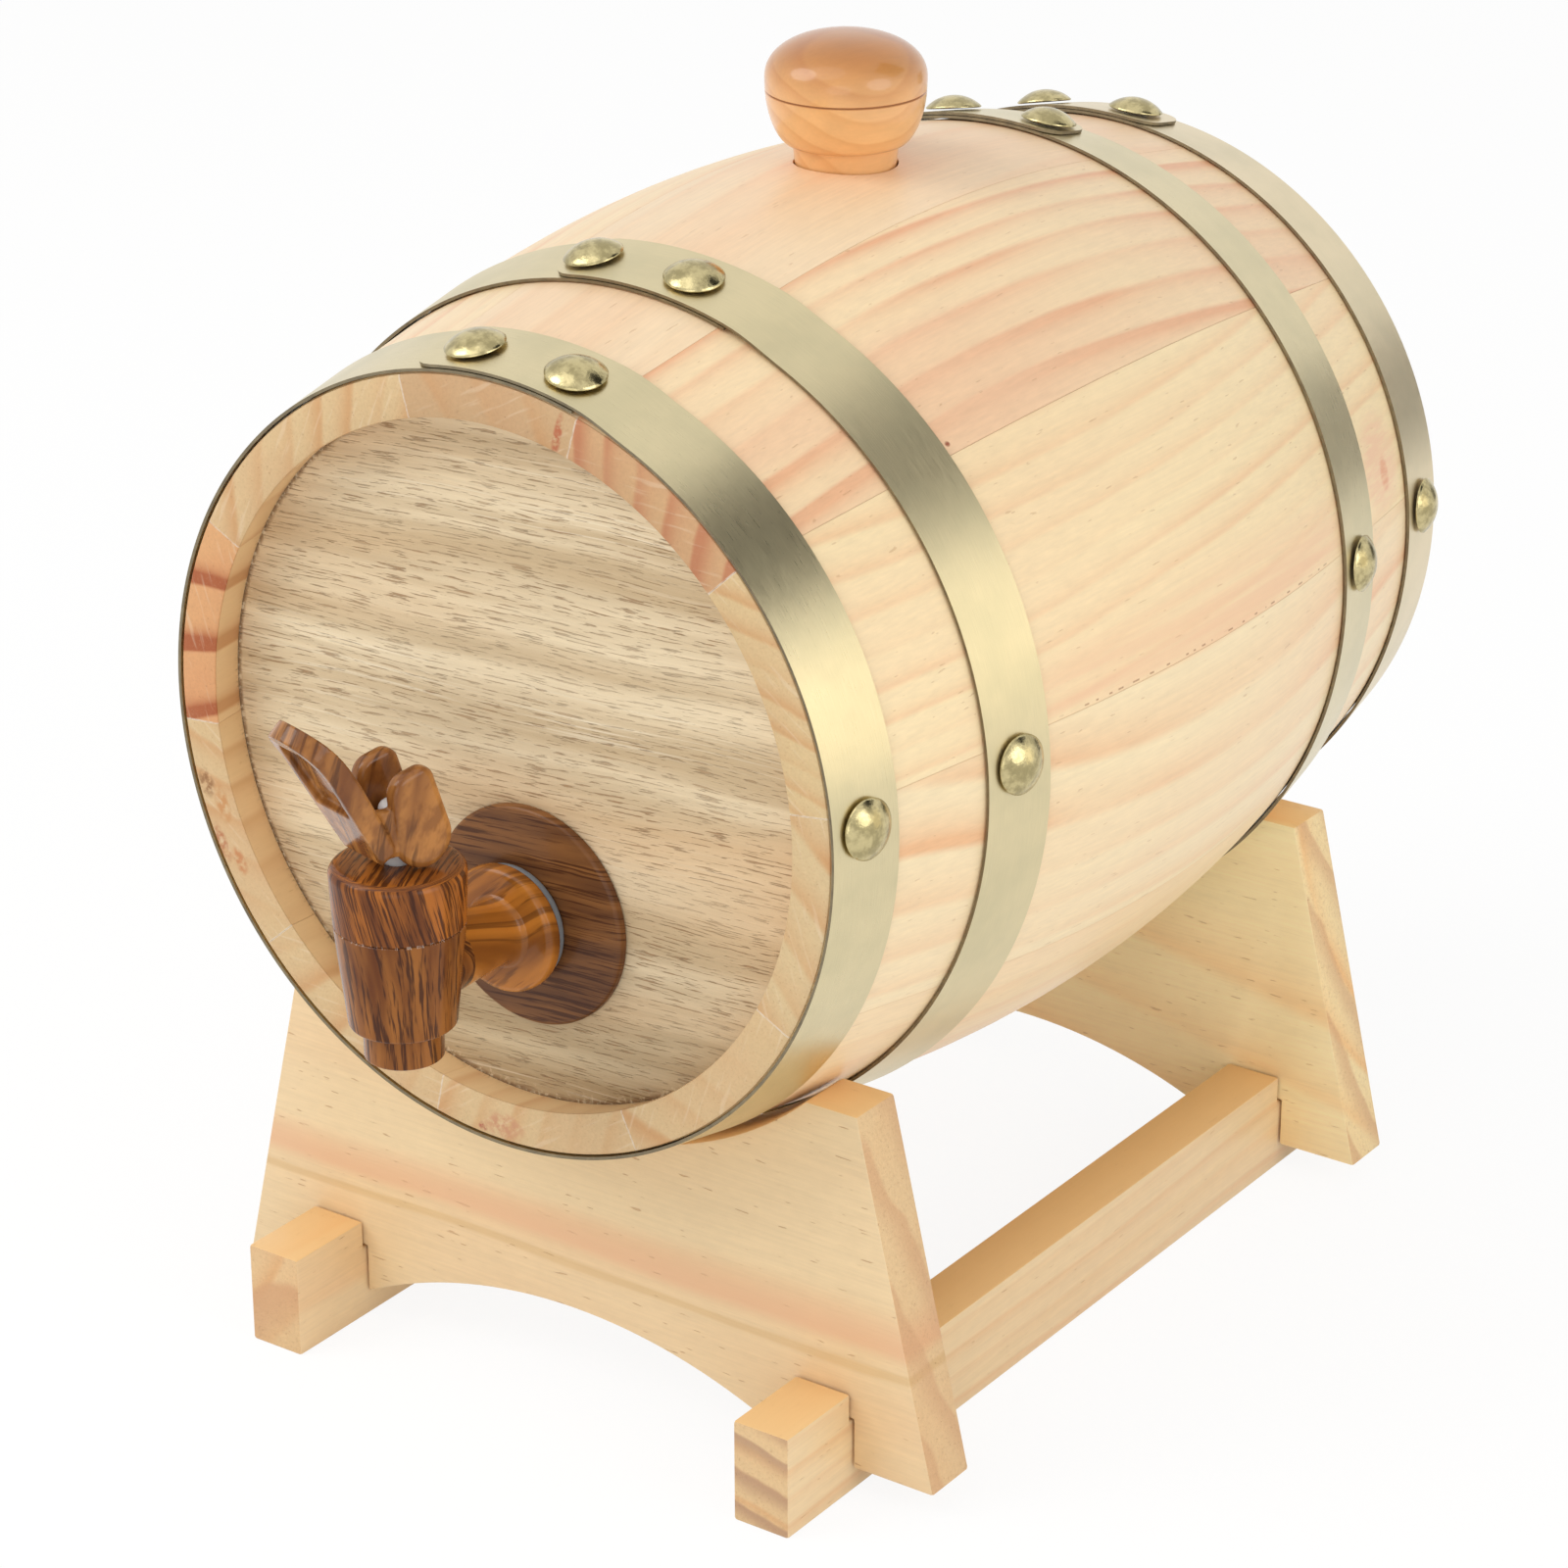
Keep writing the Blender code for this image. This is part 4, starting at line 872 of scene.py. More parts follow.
def uprightPrint(name, look):
    # print that runs down a turned piece, a little slanted
    look = {**woodPrint, "drift": 0.004, **look}
    finish, start, x, y, z = newFinish(name, tapCentre)
    turn = start.math("ARCTAN2", x, y * -1.0)
    top = z.smooth(tap["capTop"] - 0.0007, tap["capTop"] - 0.0001) * look["flatTop"]
    side = turn * tap["bodyTopRadius"] + z * look["slant"]
    across = side * (1 - top) + (x * 0.9 + y * 0.4) * top
    along = z * (1 - top) + (y * 0.9 - x * 0.4) * top
    colour, fine = printed(start, across, along, look)
    # pale specks in the seam under the cap
    seam = abs(z - tap["bodyTop"] - tap["capSeam"] / 2)
    specks = start.cloud(turn * 60, z * 900, 0, 2.0).smooth(0.58, 0.66)
    colour = ((1 - seam.smooth(0.00010, 0.00035)) * specks * 0.6).mixed(colour, look["speck"])
    glossy(start, colour, look, fine)
    return finish


def acrossPrint(name, look, centre, turn=(0, 0, 0)):
    # print that runs along X
    look = {**woodPrint, **look}
    finish, start, x, y, z = newFinish(name, centre, turn)
    colour, fine = printed(start, z + y * 0.3, x * 0.7, look)
    glossy(start, colour, look, fine)
    return finish


def joined(parts):
    # several closed forms in one mesh
    whole = bmesh.new()
    for part in parts:
        mesh = bpy.data.meshes.new("part")
        bmesh.ops.recalc_face_normals(part, faces=part.faces[:])
        part.to_mesh(mesh)
        part.free()
        whole.from_mesh(mesh)
        bpy.data.meshes.remove(mesh)
    return whole


def makeRosette():
    low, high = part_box("tap_rosette")
    radius, edge = tap["rosetteRadius"], tap["rosetteEdge"]
    profile = [(0, 0), (radius - edge - 0.0003, 0), (radius - edge - 0.0001, -0.00005)]
    profile += rounding((radius - edge, -edge), edge, 80, 0, 6)
    profile += [(radius, low.y - high.y), (0, low.y - high.y)]
    bm = towardsFront(turned(profile, 96), ((low.x + high.x) / 2, low.y, (low.z + high.z) / 2))
    look = {"orange": (0.25, 0.105, 0.034), "brown": (0.125, 0.051, 0.021), "lines": 0.75,
            "fine": 1700, "seed": 3.0, "coat": 0.10, "rough": 0.33}
    finish = acrossPrint("rosette print", look, (0, low.y, tap["stemHeight"]), (0, 0.05, 0))
    return addPiece("tapRosette", bm, "barrel", finish, "tap_rosette", 50)


def greyRubber(name, colour):
    finish, start, x, y, z = newFinish(name)
    grainy = start.cloud(x * 2200, y * 2200, z * 2200, 3.0, 0.6)
    values = {"Base Color": grainy.shade(colour, 0.88, 1.10), "Roughness": 0.55 + grainy * 0.1}
    finishWith(start, values, grainy, 0.00003)
    return finish


def makeWasher(name, node):
    low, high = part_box(node)
    deep, edge = high.y - low.y, tap["washerEdge"]
    middle = (high.x - low.x) / 2 - edge
    ring = rounding((middle, -edge), edge, 90, 0, 4) + rounding((middle, edge - deep), edge, 0, -90, 4)
    profile = [(tap["washerBore"], 0), *ring, (tap["washerBore"], -deep)]
    bm = towardsFront(turned(profile, 72, True), (0, low.y, tap["stemHeight"]))
    return addPiece(name, bm, "barrel", washerRubber, node, 40)


def bodyForm():
    # body and nozzle, turned about the upright axis
    outlet, nozzle, step = tap["outletRadius"], tap["nozzleRadius"], tap["fineEdge"]
    low, foot, top = tap["nozzleFoot"], tap["bodyFoot"], tap["bodyTop"]
    profile = [(0, low + tap["outletDepth"]), (outlet, low + tap["outletDepth"])]
    profile += [(outlet, low + step), (outlet + step, low)]
    edge = tap["nozzleEdge"]
    profile += rounding((nozzle - edge, low + edge), edge, -90, 0, 3)
    edge = tap["footEdge"]
    profile += [(nozzle, foot - 0.0002), (nozzle + step, foot), (tap["bodyFootRadius"] - 2 * edge, foot)]
    profile += rounding((tap["bodyFootRadius"] - edge, foot + edge), edge, -80, 0, 5)
    outer = tap["bodyTopRadius"]
    profile += [(outer - 0.00005, top - tap["hairEdge"]), (outer - 0.0002, top), (0, top)]
    return shifted(turned(profile, 72), tapCentre)


def flangeForm(front):
    radius, deep = tap["flangeRadius"], tap["flangeThickness"]
    edge, rear = tap["flangeFrontEdge"], tap["flangeBackEdge"]
    profile = [(0, 0), *rounding((radius - edge, -edge), edge, 90, 0, 7)]
    profile += [*rounding((radius - rear, rear - deep), rear, 0, -90, 5), (0, -deep)]
    return towardsFront(turned(profile, 72), (0, front, tap["stemHeight"]))


def stemForm(front):
    # narrows from the body to the flange, and flares a little where it meets it
    reach, rise = front - tap["y"], tap["stemBodyRadius"] - tap["stemRadius"]
    stops = ((0.0, 0.0), (0.36, 0.0), (0.45, 0.0), (0.55, 0.0), (0.72, 0.0), (0.88, 0.0),
             (0.94, 0.00015), (0.985, 0.0006), (1.0, 0.0011))
    bm = bmesh.new()
    rings = []
    for stop, wider in stops:
        centre = (0, tap["y"] + reach * stop, tap["stemHeight"] + rise * (1 - stop))
        place = Matrix.Translation(centre) @ Matrix.Rotation(math.pi / 2, 4, "X")
        size = {"segments": 56, "radius": tap["stemBodyRadius"] - rise * stop + wider}
        made = bmesh.ops.create_circle(bm, matrix=place, cap_ends=False, **size)
        rings.append({edge for vert in made["verts"] for edge in vert.link_edges})
    bridged(bm, rings)
    return bm


def barForm(centre, turn, radius, length, segments):
    bm = bmesh.new()
    place = Matrix.Translation(centre) @ turn
    size = {"segments": segments, "radius1": radius, "radius2": radius, "depth": length}
    bmesh.ops.create_cone(bm, cap_ends=True, matrix=place, **size)
    return bm


def makeTapBody():
    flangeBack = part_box("outer_washer")[0].y - seatGap
    front = flangeBack - tap["flangeThickness"]
    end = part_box("tap_body")[1].y
    along = Matrix.Rotation(math.pi / 2, 4, "X")
    middle = (0, (flangeBack + end) / 2, tap["stemHeight"])
    shank = barForm(middle, along, tap["shankRadius"], end - flangeBack, 40)
    bm = joined([bodyForm(), flangeForm(front), stemForm(front), shank])
    for face in bm.faces:
        if face.calc_center_median().y > tap["y"] + tap["stemStart"]:
            face.material_index = 1
    bodyLook = {"seed": 6.0, "slant": 0.10, "gap": 0.49, "broad": 150, "brown": (0.13, 0.036, 0.008)}
    bodyPrint = uprightPrint("body print", bodyLook)
    stemLook = {"orange": (0.54, 0.20, 0.030), "brown": (0.24, 0.080, 0.014), "lines": 0.5, "gap": 0.52,
                "broad": 170, "fine": 520, "seed": 8.0, "coat": 0.3, "rough": 0.2}
    stemPrint = acrossPrint("stem print", stemLook, tapCentre, (0, 0.7, 0))
    piece = newObject("tapBody", bm, bodyPrint, stemPrint)
    return handOver(piece, "barrel", "tap_body", 40)


def makeCap():
    top, edge, wall, hole = tap["capTop"], tap["capEdge"], tap["capWall"], tap["capHole"]
    seam, outer = tap["bodyTop"] + tap["capSeam"], tap["bodyTopRadius"] - 0.00003
    inside, hair = top - tap["capDepth"], tap["hairEdge"]
    profile = [(wall, seam), (outer - hair, seam), (outer, seam + hair)]
    profile += rounding((tap["capRadius"] - edge, top - edge), edge, 0, 78, 8)
    profile += [(tap["capRadius"] - edge - 0.0001, top), (hole, top), (hole, inside), (wall, inside)]
    bm = shifted(turned(profile, 72, True), tapCentre)
    look = {"orange": (0.44, 0.142, 0.022), "gap": 0.47, "fine": 1600, "flatTop": 1.0,
            "slant": 0.28, "seed": 2.0}
    finish = uprightPrint("cap print", look)
    return addPiece("tapCap", bm, "barrel", finish, "tap_cap", 30)


lever = {
    "turn": 15.5,
    "pivot": 0.0042,
    "half": 0.0061,
    "earThickness": 0.0030,
    "earLow": (0.0015, 0.0051, 0.0048),
    "earHigh": (-0.0001, 0.0124, 0.0039),
    "earCorners": (0.0022, 0.0032),
    "earEdge": 0.0010,
    "foot": (-0.0048, 0.0032),
    "footHalf": 0.0052,
    "lean": 29.5,
    "straight": 0.0170,
    "curved": 0.0101,
    "bend": 16.0,
    "thickness": 0.0030,
    "swell": 0.0008,
    "rim": 0.0016,
    "hollow": 0.0013,
    "hollowStart": 0.0100,
    "webHalf": 0.0049,
    "webTop": 0.0099,
    "webSideTop": 0.0117,
    "webFoot": 0.0031,
    "voxel": 0.00021,
    "rodRadius": 0.0020,
    "headRadius": 0.0026,
    "barRadius": 0.0013,
    "barLength": 0.0098,
    "headTaper": 0.0006,
    "webBack": -0.0030,
    "webSideBack": -0.0009,
    "webSlope": 0.0015,
    "cutReach": 0.002,
    "easing": 7,
    "white": (0.84, 0.84, 0.83),
    "whiteDim": (0.74, 0.75, 0.77),
    "blotch": (0.15, 0.048, 0.014),
}
leverCentre = (0, tap["y"], tap["stemHeight"] + tap["capTop"] + lever["pivot"])


def whitePlastic():
    finish, start, x, y, z = newFinish("white plastic")
    haze = start.cloud(x * 900, y * 900, z * 900, 2.0)
    colour = haze.mixed(lever["whiteDim"], lever["white"])
    finishWith(start, {"Base Color": colour, "Roughness": 0.32 + haze * 0.08}, haze, 0.00002)
    return finish


def makePlunger():
    low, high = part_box("plunger")
    pivot = tap["capTop"] + lever["pivot"]
    foot, top = low.z - tap["stemHeight"], high.z - tap["stemHeight"]
    rod, wide, bar = lever["rodRadius"], lever["headRadius"], lever["barRadius"]
    taper = lever["headTaper"]
    profile = [(0, foot), (rod, foot), (rod, pivot - taper), (wide, pivot + taper)]
    profile += rounding((wide - bar, top - bar), bar, 0, 90, 8)[:-1] + [(0, top)]
    cross = barForm((0, 0, pivot), Matrix.Rotation(math.pi / 2, 4, "Y"), bar, lever["barLength"], 24)
    bm = joined([turned(profile, 40), cross])
    shifted(swung(bm, -math.radians(lever["turn"]), "Z"), tapCentre)
    return addPiece("plungerRod", bm, "plunger", whitePlastic(), "plunger", 40)


def paddlePlace(along):
    straight = min(along, lever["straight"])
    lean = math.radians(lever["lean"])
    y = lever["foot"][0] - straight * math.sin(lean)
    z = lever["foot"][1] + straight * math.cos(lean)
    if along > lever["straight"]:
        radius = lever["curved"] / math.radians(lever["bend"])
        more = (along - lever["straight"]) / radius
        y -= radius * (math.cos(lean) - math.cos(lean + more))
        z += radius * (math.sin(lean + more) - math.sin(lean))
        lean += more
    return y, z, lean


def paddleHalf(along):
    share = min(along / lever["straight"], 1)
    half = lever["footHalf"] + (lever["half"] - lever["footHalf"]) * share
    short = lever["half"] - min(lever["straight"] + lever["curved"] - along, lever["half"])
    tip = math.sqrt(max(lever["half"] ** 2 - short**2, 1e-7))
    return min(half, tip)


def paddleForm(start, end, inset, front, back, swell, count):
    # cross-sections of the paddle bridged into one closed form
    bm = bmesh.new()
    length = lever["straight"] + lever["curved"]
    loops = []
    for i in range(count + 1):
        along = start + (end - start) * math.sin(i / count * math.pi / 2)
        y, z, lean = paddlePlace(along)
        half = max(paddleHalf(min(along + inset, length)) - inset, 0.0003)
        low = back - swell * math.sin(math.pi * along / length)
        loop = []
        for x, out in ((-half, front), (half, front), (half, low), (-half, low)):
            height = z - lever["pivot"] - out * math.sin(lean)
            loop.append(bm.verts.new((x, y - out * math.cos(lean), height)))
        loops.append(loop)
    bridged(bm, [{bm.edges.new((loop[j - 1], loop[j])) for j in range(4)} for loop in loops])
    bm.faces.new(loops[0])
    bm.faces.new(loops[-1])
    return bm


def earForm(side):
    # round foot, and a flatter top with two rounded corners
    low, high = Vector(lever["earLow"][:2]), Vector(lever["earHigh"][:2])
    lowRadius, highRadius = lever["earLow"][2], lever["earHigh"][2]
    axis = (high - low).normalized()
    across = Vector((axis.y, -axis.x))
    upwards = math.degrees(math.atan2(*axis.yx))
    corners = []
    for way, corner in zip((1, -1), lever["earCorners"]):
        centre = high + (axis + across * way) * (highRadius - corner)
        turn = math.degrees(math.atan2(*(centre - low).yx))
        tangent = math.degrees(math.acos((lowRadius - corner) / (centre - low).length))
        corners.append((centre, corner, turn - way * tangent))
    (right, rightRadius, start), (left, leftRadius, end) = corners
    outline = rounding(right, rightRadius, start, upwards, 8)
    outline += rounding(left, leftRadius, upwards, end, 8)
    outline += rounding(low, lowRadius, end, start + 360, 20)
    inner = side * (lever["half"] - lever["earThickness"])
    bm = slab(outline, lambda a, b: (inner, a, b - lever["pivot"]), (side * lever["earThickness"], 0, 0))
    rim = [e for e in bm.edges if abs(e.verts[0].co.x - e.verts[1].co.x) < 1e-9]
    bevelled(bm, rim, lever["earEdge"], 5)
    return bm


def webForm(start, end, back, top):
    lean = math.radians(lever["lean"])
    foot, (y, z) = lever["webFoot"], lever["foot"]
    outline = [(back, foot), (back, top - lever["webSlope"])]
    outline += [(y - (height - z) * math.tan(lean), height) for height in (top, foot)]
    return slab(outline, lambda a, b: (start, a, b - lever["pivot"]), (end - start, 0, 0))


def leverPrint():
    look = {**woodPrint, "orange": (0.50, 0.215, 0.055), "brown": (0.20, 0.068, 0.018), "lines": 0.65,
            "gap": 0.53, "broad": 210, "fine": 620, "seed": 12.0, "drift": 0.005, "rough": 0.2, "coat": 0.3}
    finish, start, x, y, z = newFinish("lever print", leverCentre, (0.45, 0, 0.27))
    colour = printed(start, x + y * 0.5, z * 0.6, look)[0]
    blotch = start.cloud(x * 320, y * 320, z * 200, 3.0, 0.6).smooth(0.42, 0.64)
    colour = (blotch * 0.55).mixed(colour, lever["blotch"])
    glossy(start, colour, look, blotch)
    return finish


def remeshed(piece):
    whole = piece.modifiers.new("one moulding", "REMESH")
    whole.mode = "VOXEL"
    whole.voxel_size = lever["voxel"]


def makeLever():
    length, half = lever["straight"] + lever["curved"], lever["thickness"] / 2
    wide, inner = lever["webHalf"], lever["half"] - lever["earThickness"]
    forms = [paddleForm(0, length, 0, half, -half, lever["swell"], 28), earForm(-1), earForm(1)]
    forms.append(webForm(-wide, wide, lever["webBack"], lever["webTop"]))
    for start, end in ((inner, wide), (-wide, -inner)):
        forms.append(webForm(start, end, lever["webSideBack"], lever["webSideTop"]))
    piece = addPiece("leverMoulded", joined(forms), "lever", leverPrint(), "lever", 180)
    # the hollow in the paddle's front
    start, end = lever["hollowStart"], length - 2 * lever["rim"]
    front, back = half + lever["cutReach"], half - lever["hollow"]
    hollow = paddleForm(start, end, lever["rim"], front, back, 0, 20)
    bmesh.ops.recalc_face_normals(hollow, faces=hollow.faces[:])
    cutter = newObject("hollow", hollow)
    remeshed(piece)
    settle(piece)
    cut = piece.modifiers.new("hollow", "BOOLEAN")
    cut.object = cutter
    settle(piece)
    remeshed(piece)
    ease = piece.modifiers.new("ease", "SMOOTH")
    ease.factor = 0.5
    ease.iterations = lever["easing"]
    settle(piece)
    bpy.data.objects.remove(cutter)
    turn = Matrix.Rotation(-math.radians(lever["turn"]), 4, "Z")
    piece.data.transform(Matrix.Translation(leverCentre) @ turn)
    piece.data.shade_smooth()
    return piece


washerRubber = greyRubber("grey rubber", (0.20, 0.215, 0.23))
makeRosette()
makeWasher("washerOuter", "outer_washer")
makeWasher("washerInner", "inner_washer")
makeTapBody()
makeCap()
makePlunger()
makeLever()
nutLook = {"orange": (0.20, 0.09, 0.04), "brown": (0.12, 0.05, 0.02), "lines": 0.4, "seed": 21.0,
           "gap": 0.54, "rough": 0.25, "coat": 0.2}
hidden = {"lock_nut": acrossPrint("nut plastic", nutLook, tapCentre)}
hidden["plunger_seal"] = greyRubber("pale seal rubber", (0.62, 0.62, 0.60))
for node, finish in hidden.items():
    nodes[node].data.materials.clear()
    nodes[node].data.materials.append(finish)
print("tap made")

# Stand: two boards notched over two rails
stand = {
    "frontFace": -0.0536415,
    "rearFace": 0.0929785,
    "thickness": 0.0104,
    "top": 0.0670,
    "topHalf": 0.0561,
    "foot": 0.00445,
    "footHalf": 0.0709,
    "archHalf": 0.0446,
    "archTop": 0.0154,
    "railPlace": 0.05005,
    "railWidth": 0.0105,
    "railHeight": 0.0180,
    "overhang": 0.0175,
    "notch": 0.0050,
    "edge": 0.0005,
}

standWood = {
    **pine,
    "early": (0.84, 0.64, 0.38),
    "late": (0.76, 0.42, 0.19),
    "flush": (0.80, 0.50, 0.27),
    # honey: tint of faces that point up, made lighter as painted light for the rail tops in the barrel's
    # shade
    "honey": (0.92, 0.58, 0.25),
    "endTint": (0.93, 0.86, 0.78),
    "endLate": (0.66, 0.37, 0.19),
    "endLean": 2.4,
    "endStrength": 0.6,
    "endPores": (0.52, 0.30, 0.16),
    "stripeTint": (0.82, 0.49, 0.28),
    "stripeLine": (0.66, 0.42, 0.17),
}


def standPine(name, look, along):
    look = {**standWood, **look}
    finish, start, x, y, z = newFinish(name)
    across, deep, run = (z, y, x) if along == "x" else (z, x, y)
    colour, relief = grain(start, across, deep, run, look)[:2]
    # faces that point up are tinted honey-orange; the tint is set lighter as painted light, for the rail
    # tops that lie in the barrel's shade
    normal = start.node("NewGeometry", {}, {}, 1)
    colour = (normal.axis(2).smooth(0.6, 0.95) * 0.75).mixed(colour, look["honey"])
    if "stripe" in look:
        height, wide = look["stripe"]
        rise = z + (start.cloud(x * 14, y * 14, z * 50, 2.0) - 0.5) * 0.006 - height
        stripe = rise.smooth(-wide * 0.35, 0.0) * (1 - rise.smooth(0.0, wide))
        colour = (stripe * 0.85).mixed(colour, look["stripeTint"])
        thin = 1 - abs(rise + wide * 0.55).smooth(0.0003, 0.0011)
        colour = (thin * 0.45).mixed(colour, look["stripeLine"])
    # sawn end faces soak up lacquer, and are coarser
    ends = abs(normal.axis(0 if along == "x" else 1)).smooth(0.6, 0.85)
    coarse = start.cloud(across * 1500, deep * 1500, run * 900, 3.0, 0.65)
    colour = ends.mixed((1.0, 1.0, 1.0), look["endTint"]).times(colour)
    slant = (across + deep * look["endLean"]) / look["endRing"] + look["seed"]
    ring = start.math("FRACT", slant + start.cloud(across * 60, deep * 60, 0, 2.0) * 0.8)
    striped = ring.smooth(0.25, 0.85) * (1 - ring.smooth(0.88, 1.0))
    colour = (ends * striped * look["endStrength"]).mixed(colour, look["endLate"])
    colour = (ends * coarse.smooth(0.52, 0.72) * 0.3).mixed(colour, look["endPores"])
    relief = relief + coarse * ends * 3
    values = {
        "Base Color": colour,
        "Roughness": ends * 0.2 + 0.46 + relief * 0.04,
        "Coat Weight": 0.15,
        "Coat Roughness": 0.3,
        "Specular IOR Level": 0.4,
    }
    finishWith(start, values, relief, 0.00007)
    return finish


def boardOutline(cradle):
    opening = math.degrees(math.acos((barrel["axisHeight"] - stand["top"]) / cradle))
    foot, rise = stand["foot"], stand["archTop"] - stand["foot"]
    slotTop = stand["railHeight"] - stand["notch"] + seatGap
    slotOuter = stand["railPlace"] + stand["railWidth"] / 2 + seatGap
    slotInner = stand["railPlace"] - stand["railWidth"] / 2 - seatGap
    side = [(stand["topHalf"], stand["top"]), (stand["footHalf"], foot)]
    side += [(slotOuter, foot), (slotOuter, slotTop), (slotInner, slotTop)]
    radius = (stand["archHalf"] ** 2 + rise**2) / (2 * rise)
    half = math.degrees(math.asin(slotInner / radius))
    outline = rounding((0, barrel["axisHeight"]), cradle, -90 + opening, -90 - opening, 48)
    outline += [(-x, z) for x, z in side]
    outline += rounding((0, stand["archTop"] - radius), radius, 90 + half, 90 - half, 32)
    return outline + side[::-1]


def standPiece(name, node, outline, place, across, look, along):
    bm = slab(outline, place, across)
    soften(bm, stand["edge"])
    return addPiece(name, bm, "stand", standPine(name + " pine", look, along), node)


def makeBoard(name, node, face, inward, look):
    across = inward * stand["thickness"]
    outline = boardOutline(woodRadius(face + across - barrel["middle"]) + seatGap)
    return standPiece(name, node, outline, lambda a, b: (a, face, b), (0, across, 0), look, "x")


def makeRail(name, node, x, look):
    front, back = stand["frontFace"] - stand["overhang"], stand["rearFace"] + stand["overhang"]
    top, low = stand["railHeight"], stand["railHeight"] - stand["notch"]
    outline = [(front, 0), (front, top)]
    for face in (stand["frontFace"], stand["rearFace"] - stand["thickness"]):
        start, end = face - seatGap, face + stand["thickness"] + seatGap
        outline += [(start, top), (start, low), (end, low), (end, top)]
    outline += [(back, top), (back, 0)]
    low = x - stand["railWidth"] / 2
    return standPiece(name, node, outline, lambda a, b: (low, a, b), (stand["railWidth"], 0, 0), look, "y")


frontLook = {"pith": (-0.040, 0.055), "ring": 0.0150, "slope": 0.01, "strength": 0.25, "flushing": 0.35,
             "flecks": 0.6, "wander": 0.006, "seed": 31.0, "early": (0.86, 0.655, 0.39),
             "stripe": (0.0275, 0.0080), "endRing": 0.026}
# painted light: the rear board's colours are raised to offset the barrel's shade on it
rearLook = {"pith": (0.075, 0.130), "ring": 0.0095, "slope": 0.22, "strength": 0.7, "flushing": 0.6,
            "flecks": 0.4, "seed": 35.0, "early": (1.0, 0.85, 0.51), "late": (0.96, 0.61, 0.29),
            "flush": (1.0, 0.74, 0.41), "endRing": 0.022}
leftLook = {"pith": (0.030, -0.080), "ring": 0.0070, "slope": 0.03, "strength": 0.7, "flecks": 0.5,
            "seed": 41.0, "endLean": -0.6, "endRing": 0.016, "endStrength": 0.85}
rightLook = {"pith": (-0.040, 0.040), "ring": 0.0050, "slope": 0.03, "strength": 0.65, "flecks": 0.5,
             "seed": 45.0, "endLean": 0.25, "endRing": 0.0060, "endStrength": 0.85,
             "endLate": (0.50, 0.30, 0.18)}
makeBoard("boardFront", "front_board", stand["frontFace"], 1, frontLook)
makeBoard("boardRear", "rear_board", stand["rearFace"], -1, rearLook)
makeRail("railLeft", "left_rail", -stand["railPlace"], leftLook)
makeRail("railRight", "right_rail", stand["railPlace"], rightLook)
print("stand made")

# Studio: pale floor, white surroundings for what is seen and mirrored, soft lamps
studio = {
    "ambient": 0.62,
    "floorSize": 4.0,
    "floorShade": 0.86,
    "floorColour": (0.9, 0.9, 0.9),
    "floorGlow": 1.03,
    "camera": {"azimuth": 35.283, "elevation": 22.987, "roll": -0.171, "lens": 107.624},
    "cameraPlace": (0.41894, -0.58552, 0.39593),
}


def seenOrMirrored(start):
    seen, mirrored, through = (start.node("LightPath", {}, {}, f"Is {ray} Ray")
                               for ray in ("Camera", "Glossy", "Transmission"))
    return start.math("MAXIMUM", start.math("MAXIMUM", seen, mirrored), through)


def makeWorld():
    world = bpy.data.worlds.new("studio")
    bpy.context.scene.world = world
    world.use_nodes = True
    world.node_tree.nodes.clear()
    start = Wire(world.node_tree)
    white = start.node("Background", {}, {"Color": (1.0, 1.0, 1.0), "Strength": 1.0})
    soft = start.node("Background", {}, {"Color": (1.0, 0.99, 0.97), "Strength": studio["ambient"]})
    mixed = start.node("MixShader", {}, {0: seenOrMirrored(start), 1: soft, 2: white})
    start.node("OutputWorld", {}, {"Surface": mixed})


def makeFloor():
    bm = bmesh.new()
    bmesh.ops.create_circle(bm, segments=64, radius=studio["floorSize"], cap_ends=True)
    finish, start = bareFinish("pale floor")
    plain = start.node("BsdfDiffuse", {}, {"Color": studio["floorColour"]})
    lit = start.node("Emission", {}, {"Color": (1.0, 1.0, 1.0), "Strength": studio["floorGlow"]})
    mixed = start.node("MixShader", {}, {0: seenOrMirrored(start) * studio["floorShade"], 1: plain, 2: lit})
    start.node("OutputMaterial", {}, {"Surface": mixed})
    newObject("floor", bm, finish)


def makeLamp(name, place, target, size, power):
    light = bpy.data.lights.new(name, "AREA")
    light.shape = "DISK"
    light.size = size
    light.energy = power
    lamp = bpy.data.objects.new(name, light)
    lamp.location = place
    lamp.rotation_euler = (Vector(target) - Vector(place)).to_track_quat("-Z", "Y").to_euler()
    bpy.context.collection.objects.link(lamp)


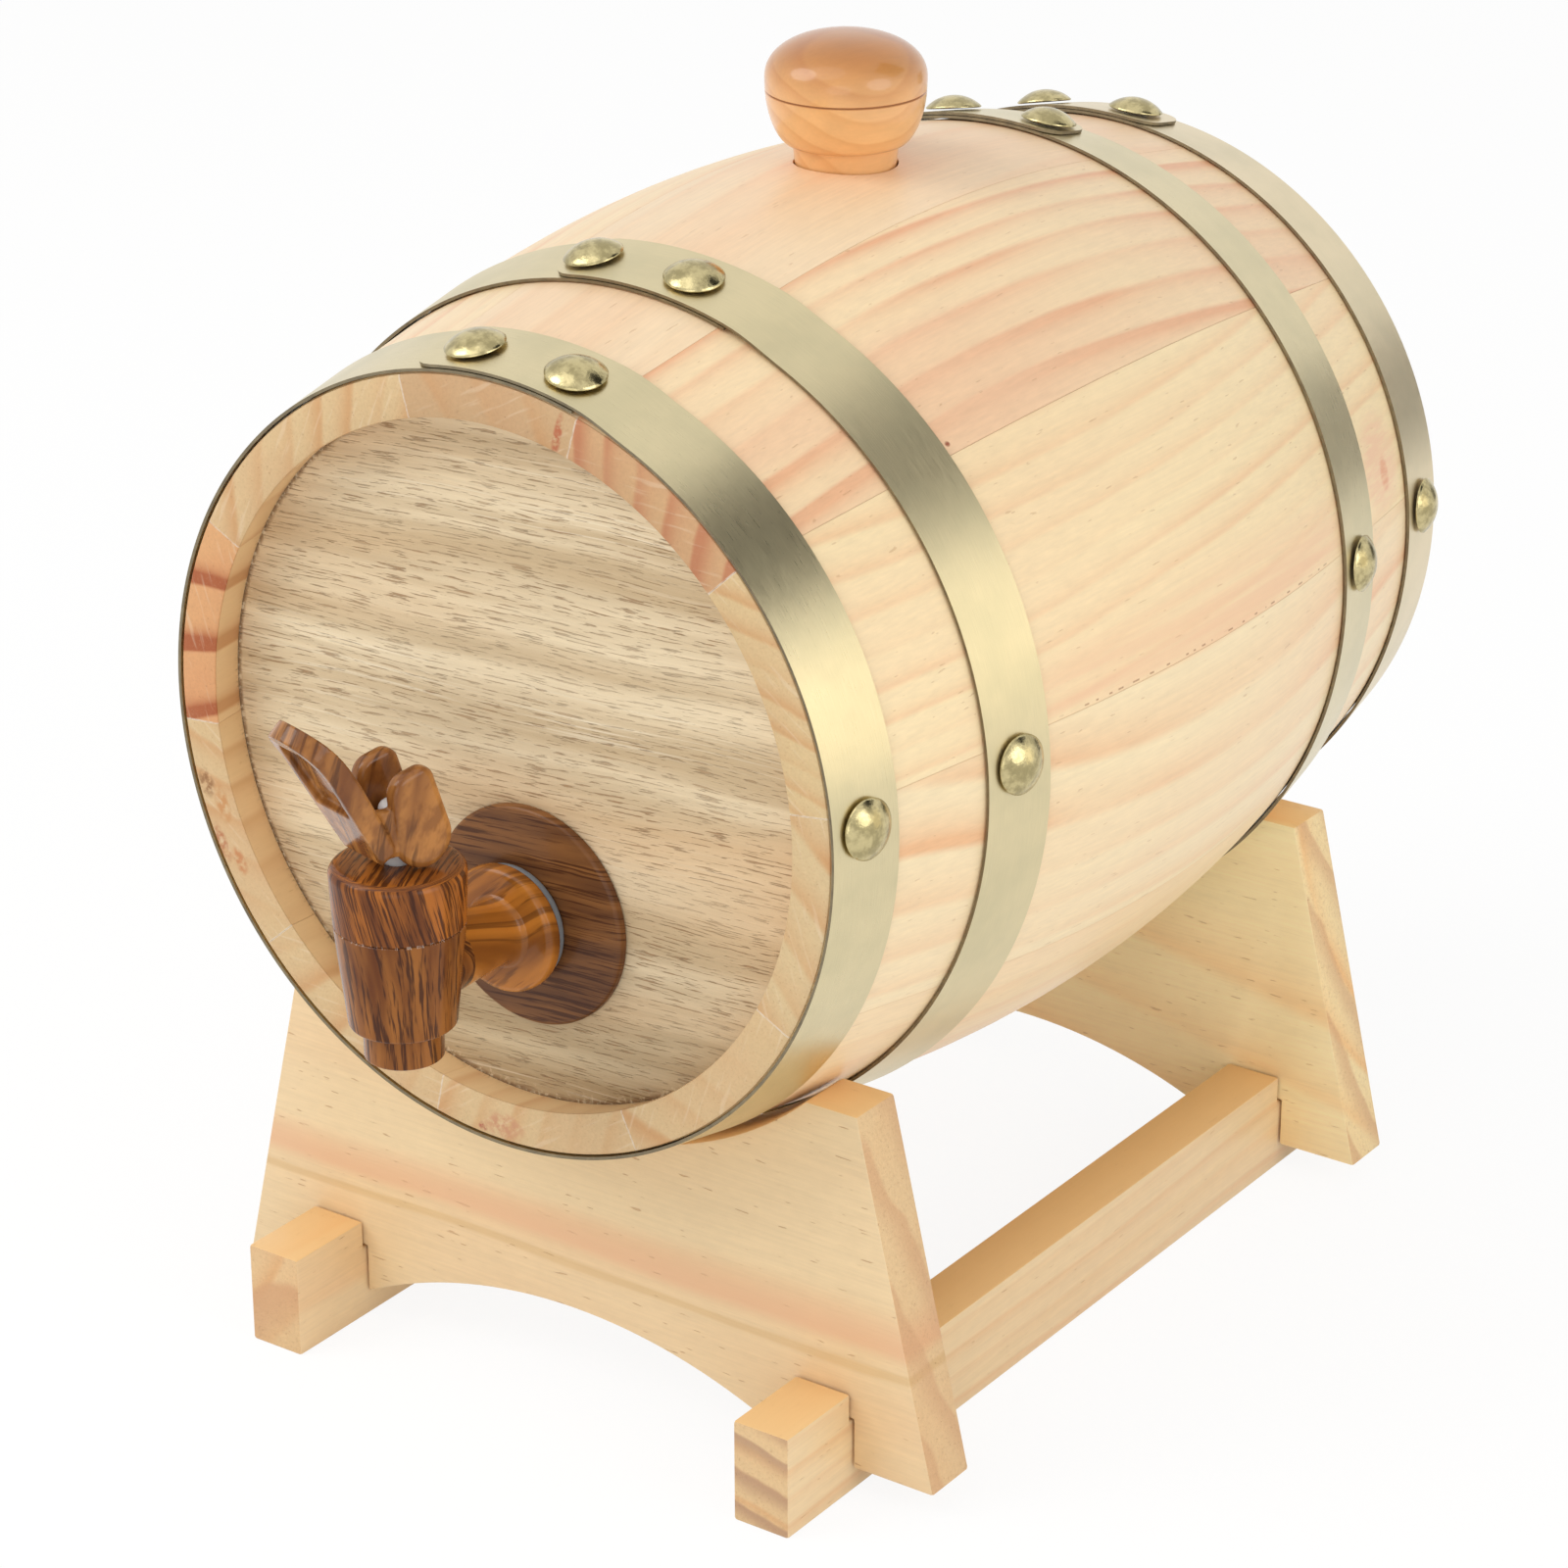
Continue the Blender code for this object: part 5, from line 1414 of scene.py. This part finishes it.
def makeFlag(name, place, target, size, shade):
    # dark or bright card that only shiny things see, as in a product studio
    bm = bmesh.new()
    bmesh.ops.create_grid(bm, x_segments=1, y_segments=1, size=0.5)
    bmesh.ops.scale(bm, vec=(size[0], size[1], 1), verts=bm.verts)
    turn = (Vector(target) - Vector(place)).to_track_quat("Z", "Y").to_matrix().to_4x4()
    bmesh.ops.transform(bm, matrix=Matrix.Translation(place) @ turn, verts=bm.verts)
    finish, start = bareFinish(name)
    glow = start.node("Emission", {}, {"Color": (shade, shade * 0.95, shade * 0.85), "Strength": 1.0})
    start.node("OutputMaterial", {}, {"Surface": glow})
    flag = newObject(name, bm, finish)
    for sense in ("camera", "diffuse", "shadow", "transmission"):
        setattr(flag, "visible_" + sense, False)


def makeCamera():
    view = studio["camera"]
    a, e, roll = (math.radians(view[key]) for key in ("azimuth", "elevation", "roll"))
    back = Vector((math.sin(a) * math.cos(e), -math.cos(a) * math.cos(e), math.sin(e)))
    right = Vector((0, 0, 1)).cross(back).normalized()
    up = back.cross(right)
    side = right * math.cos(roll) + up * math.sin(roll)
    high = up * math.cos(roll) - right * math.sin(roll)
    data = bpy.data.cameras.new("camera")
    data.lens = view["lens"]
    data.sensor_width = 36
    data.clip_start = 0.01
    camera = bpy.data.objects.new("camera", data)
    turn = Matrix((side, high, back)).transposed().to_4x4()
    camera.matrix_world = Matrix.Translation(studio["cameraPlace"]) @ turn
    bpy.context.collection.objects.link(camera)
    bpy.context.scene.camera = camera


makeWorld()
makeFloor()
middle = (0, 0.02, 0.11)
makeLamp("key lamp", (-0.75, -0.80, 1.05), middle, 0.9, 6.5)
makeLamp("side lamp", (1.15, -0.10, 0.55), middle, 0.8, 3.4)
makeLamp("top lamp", (-0.1, -0.60, 1.20), middle, 0.9, 1.5)
makeLamp("front lamp", (0.55, -1.15, 0.30), (0, 0.08, 0.05), 0.8, 1.6)
makeFlag("hoop flag", (0.50, 0.37, 0.80), (0.05, -0.05, 0.167), (0.46, 0.50), 0.0)
makeFlag("rear hoop flag", (0.30, 0.935, 0.13), (0.06, 0.075, 0.155), (0.26, 0.27), 0.10)
makeFlag("bright card", (0.73, 0.34, 0.24), (0.05, -0.05, 0.16), (0.34, 0.40), 1.6)
makeCamera()
bpy.context.scene.view_settings.view_transform = "Standard"
print("studio made")
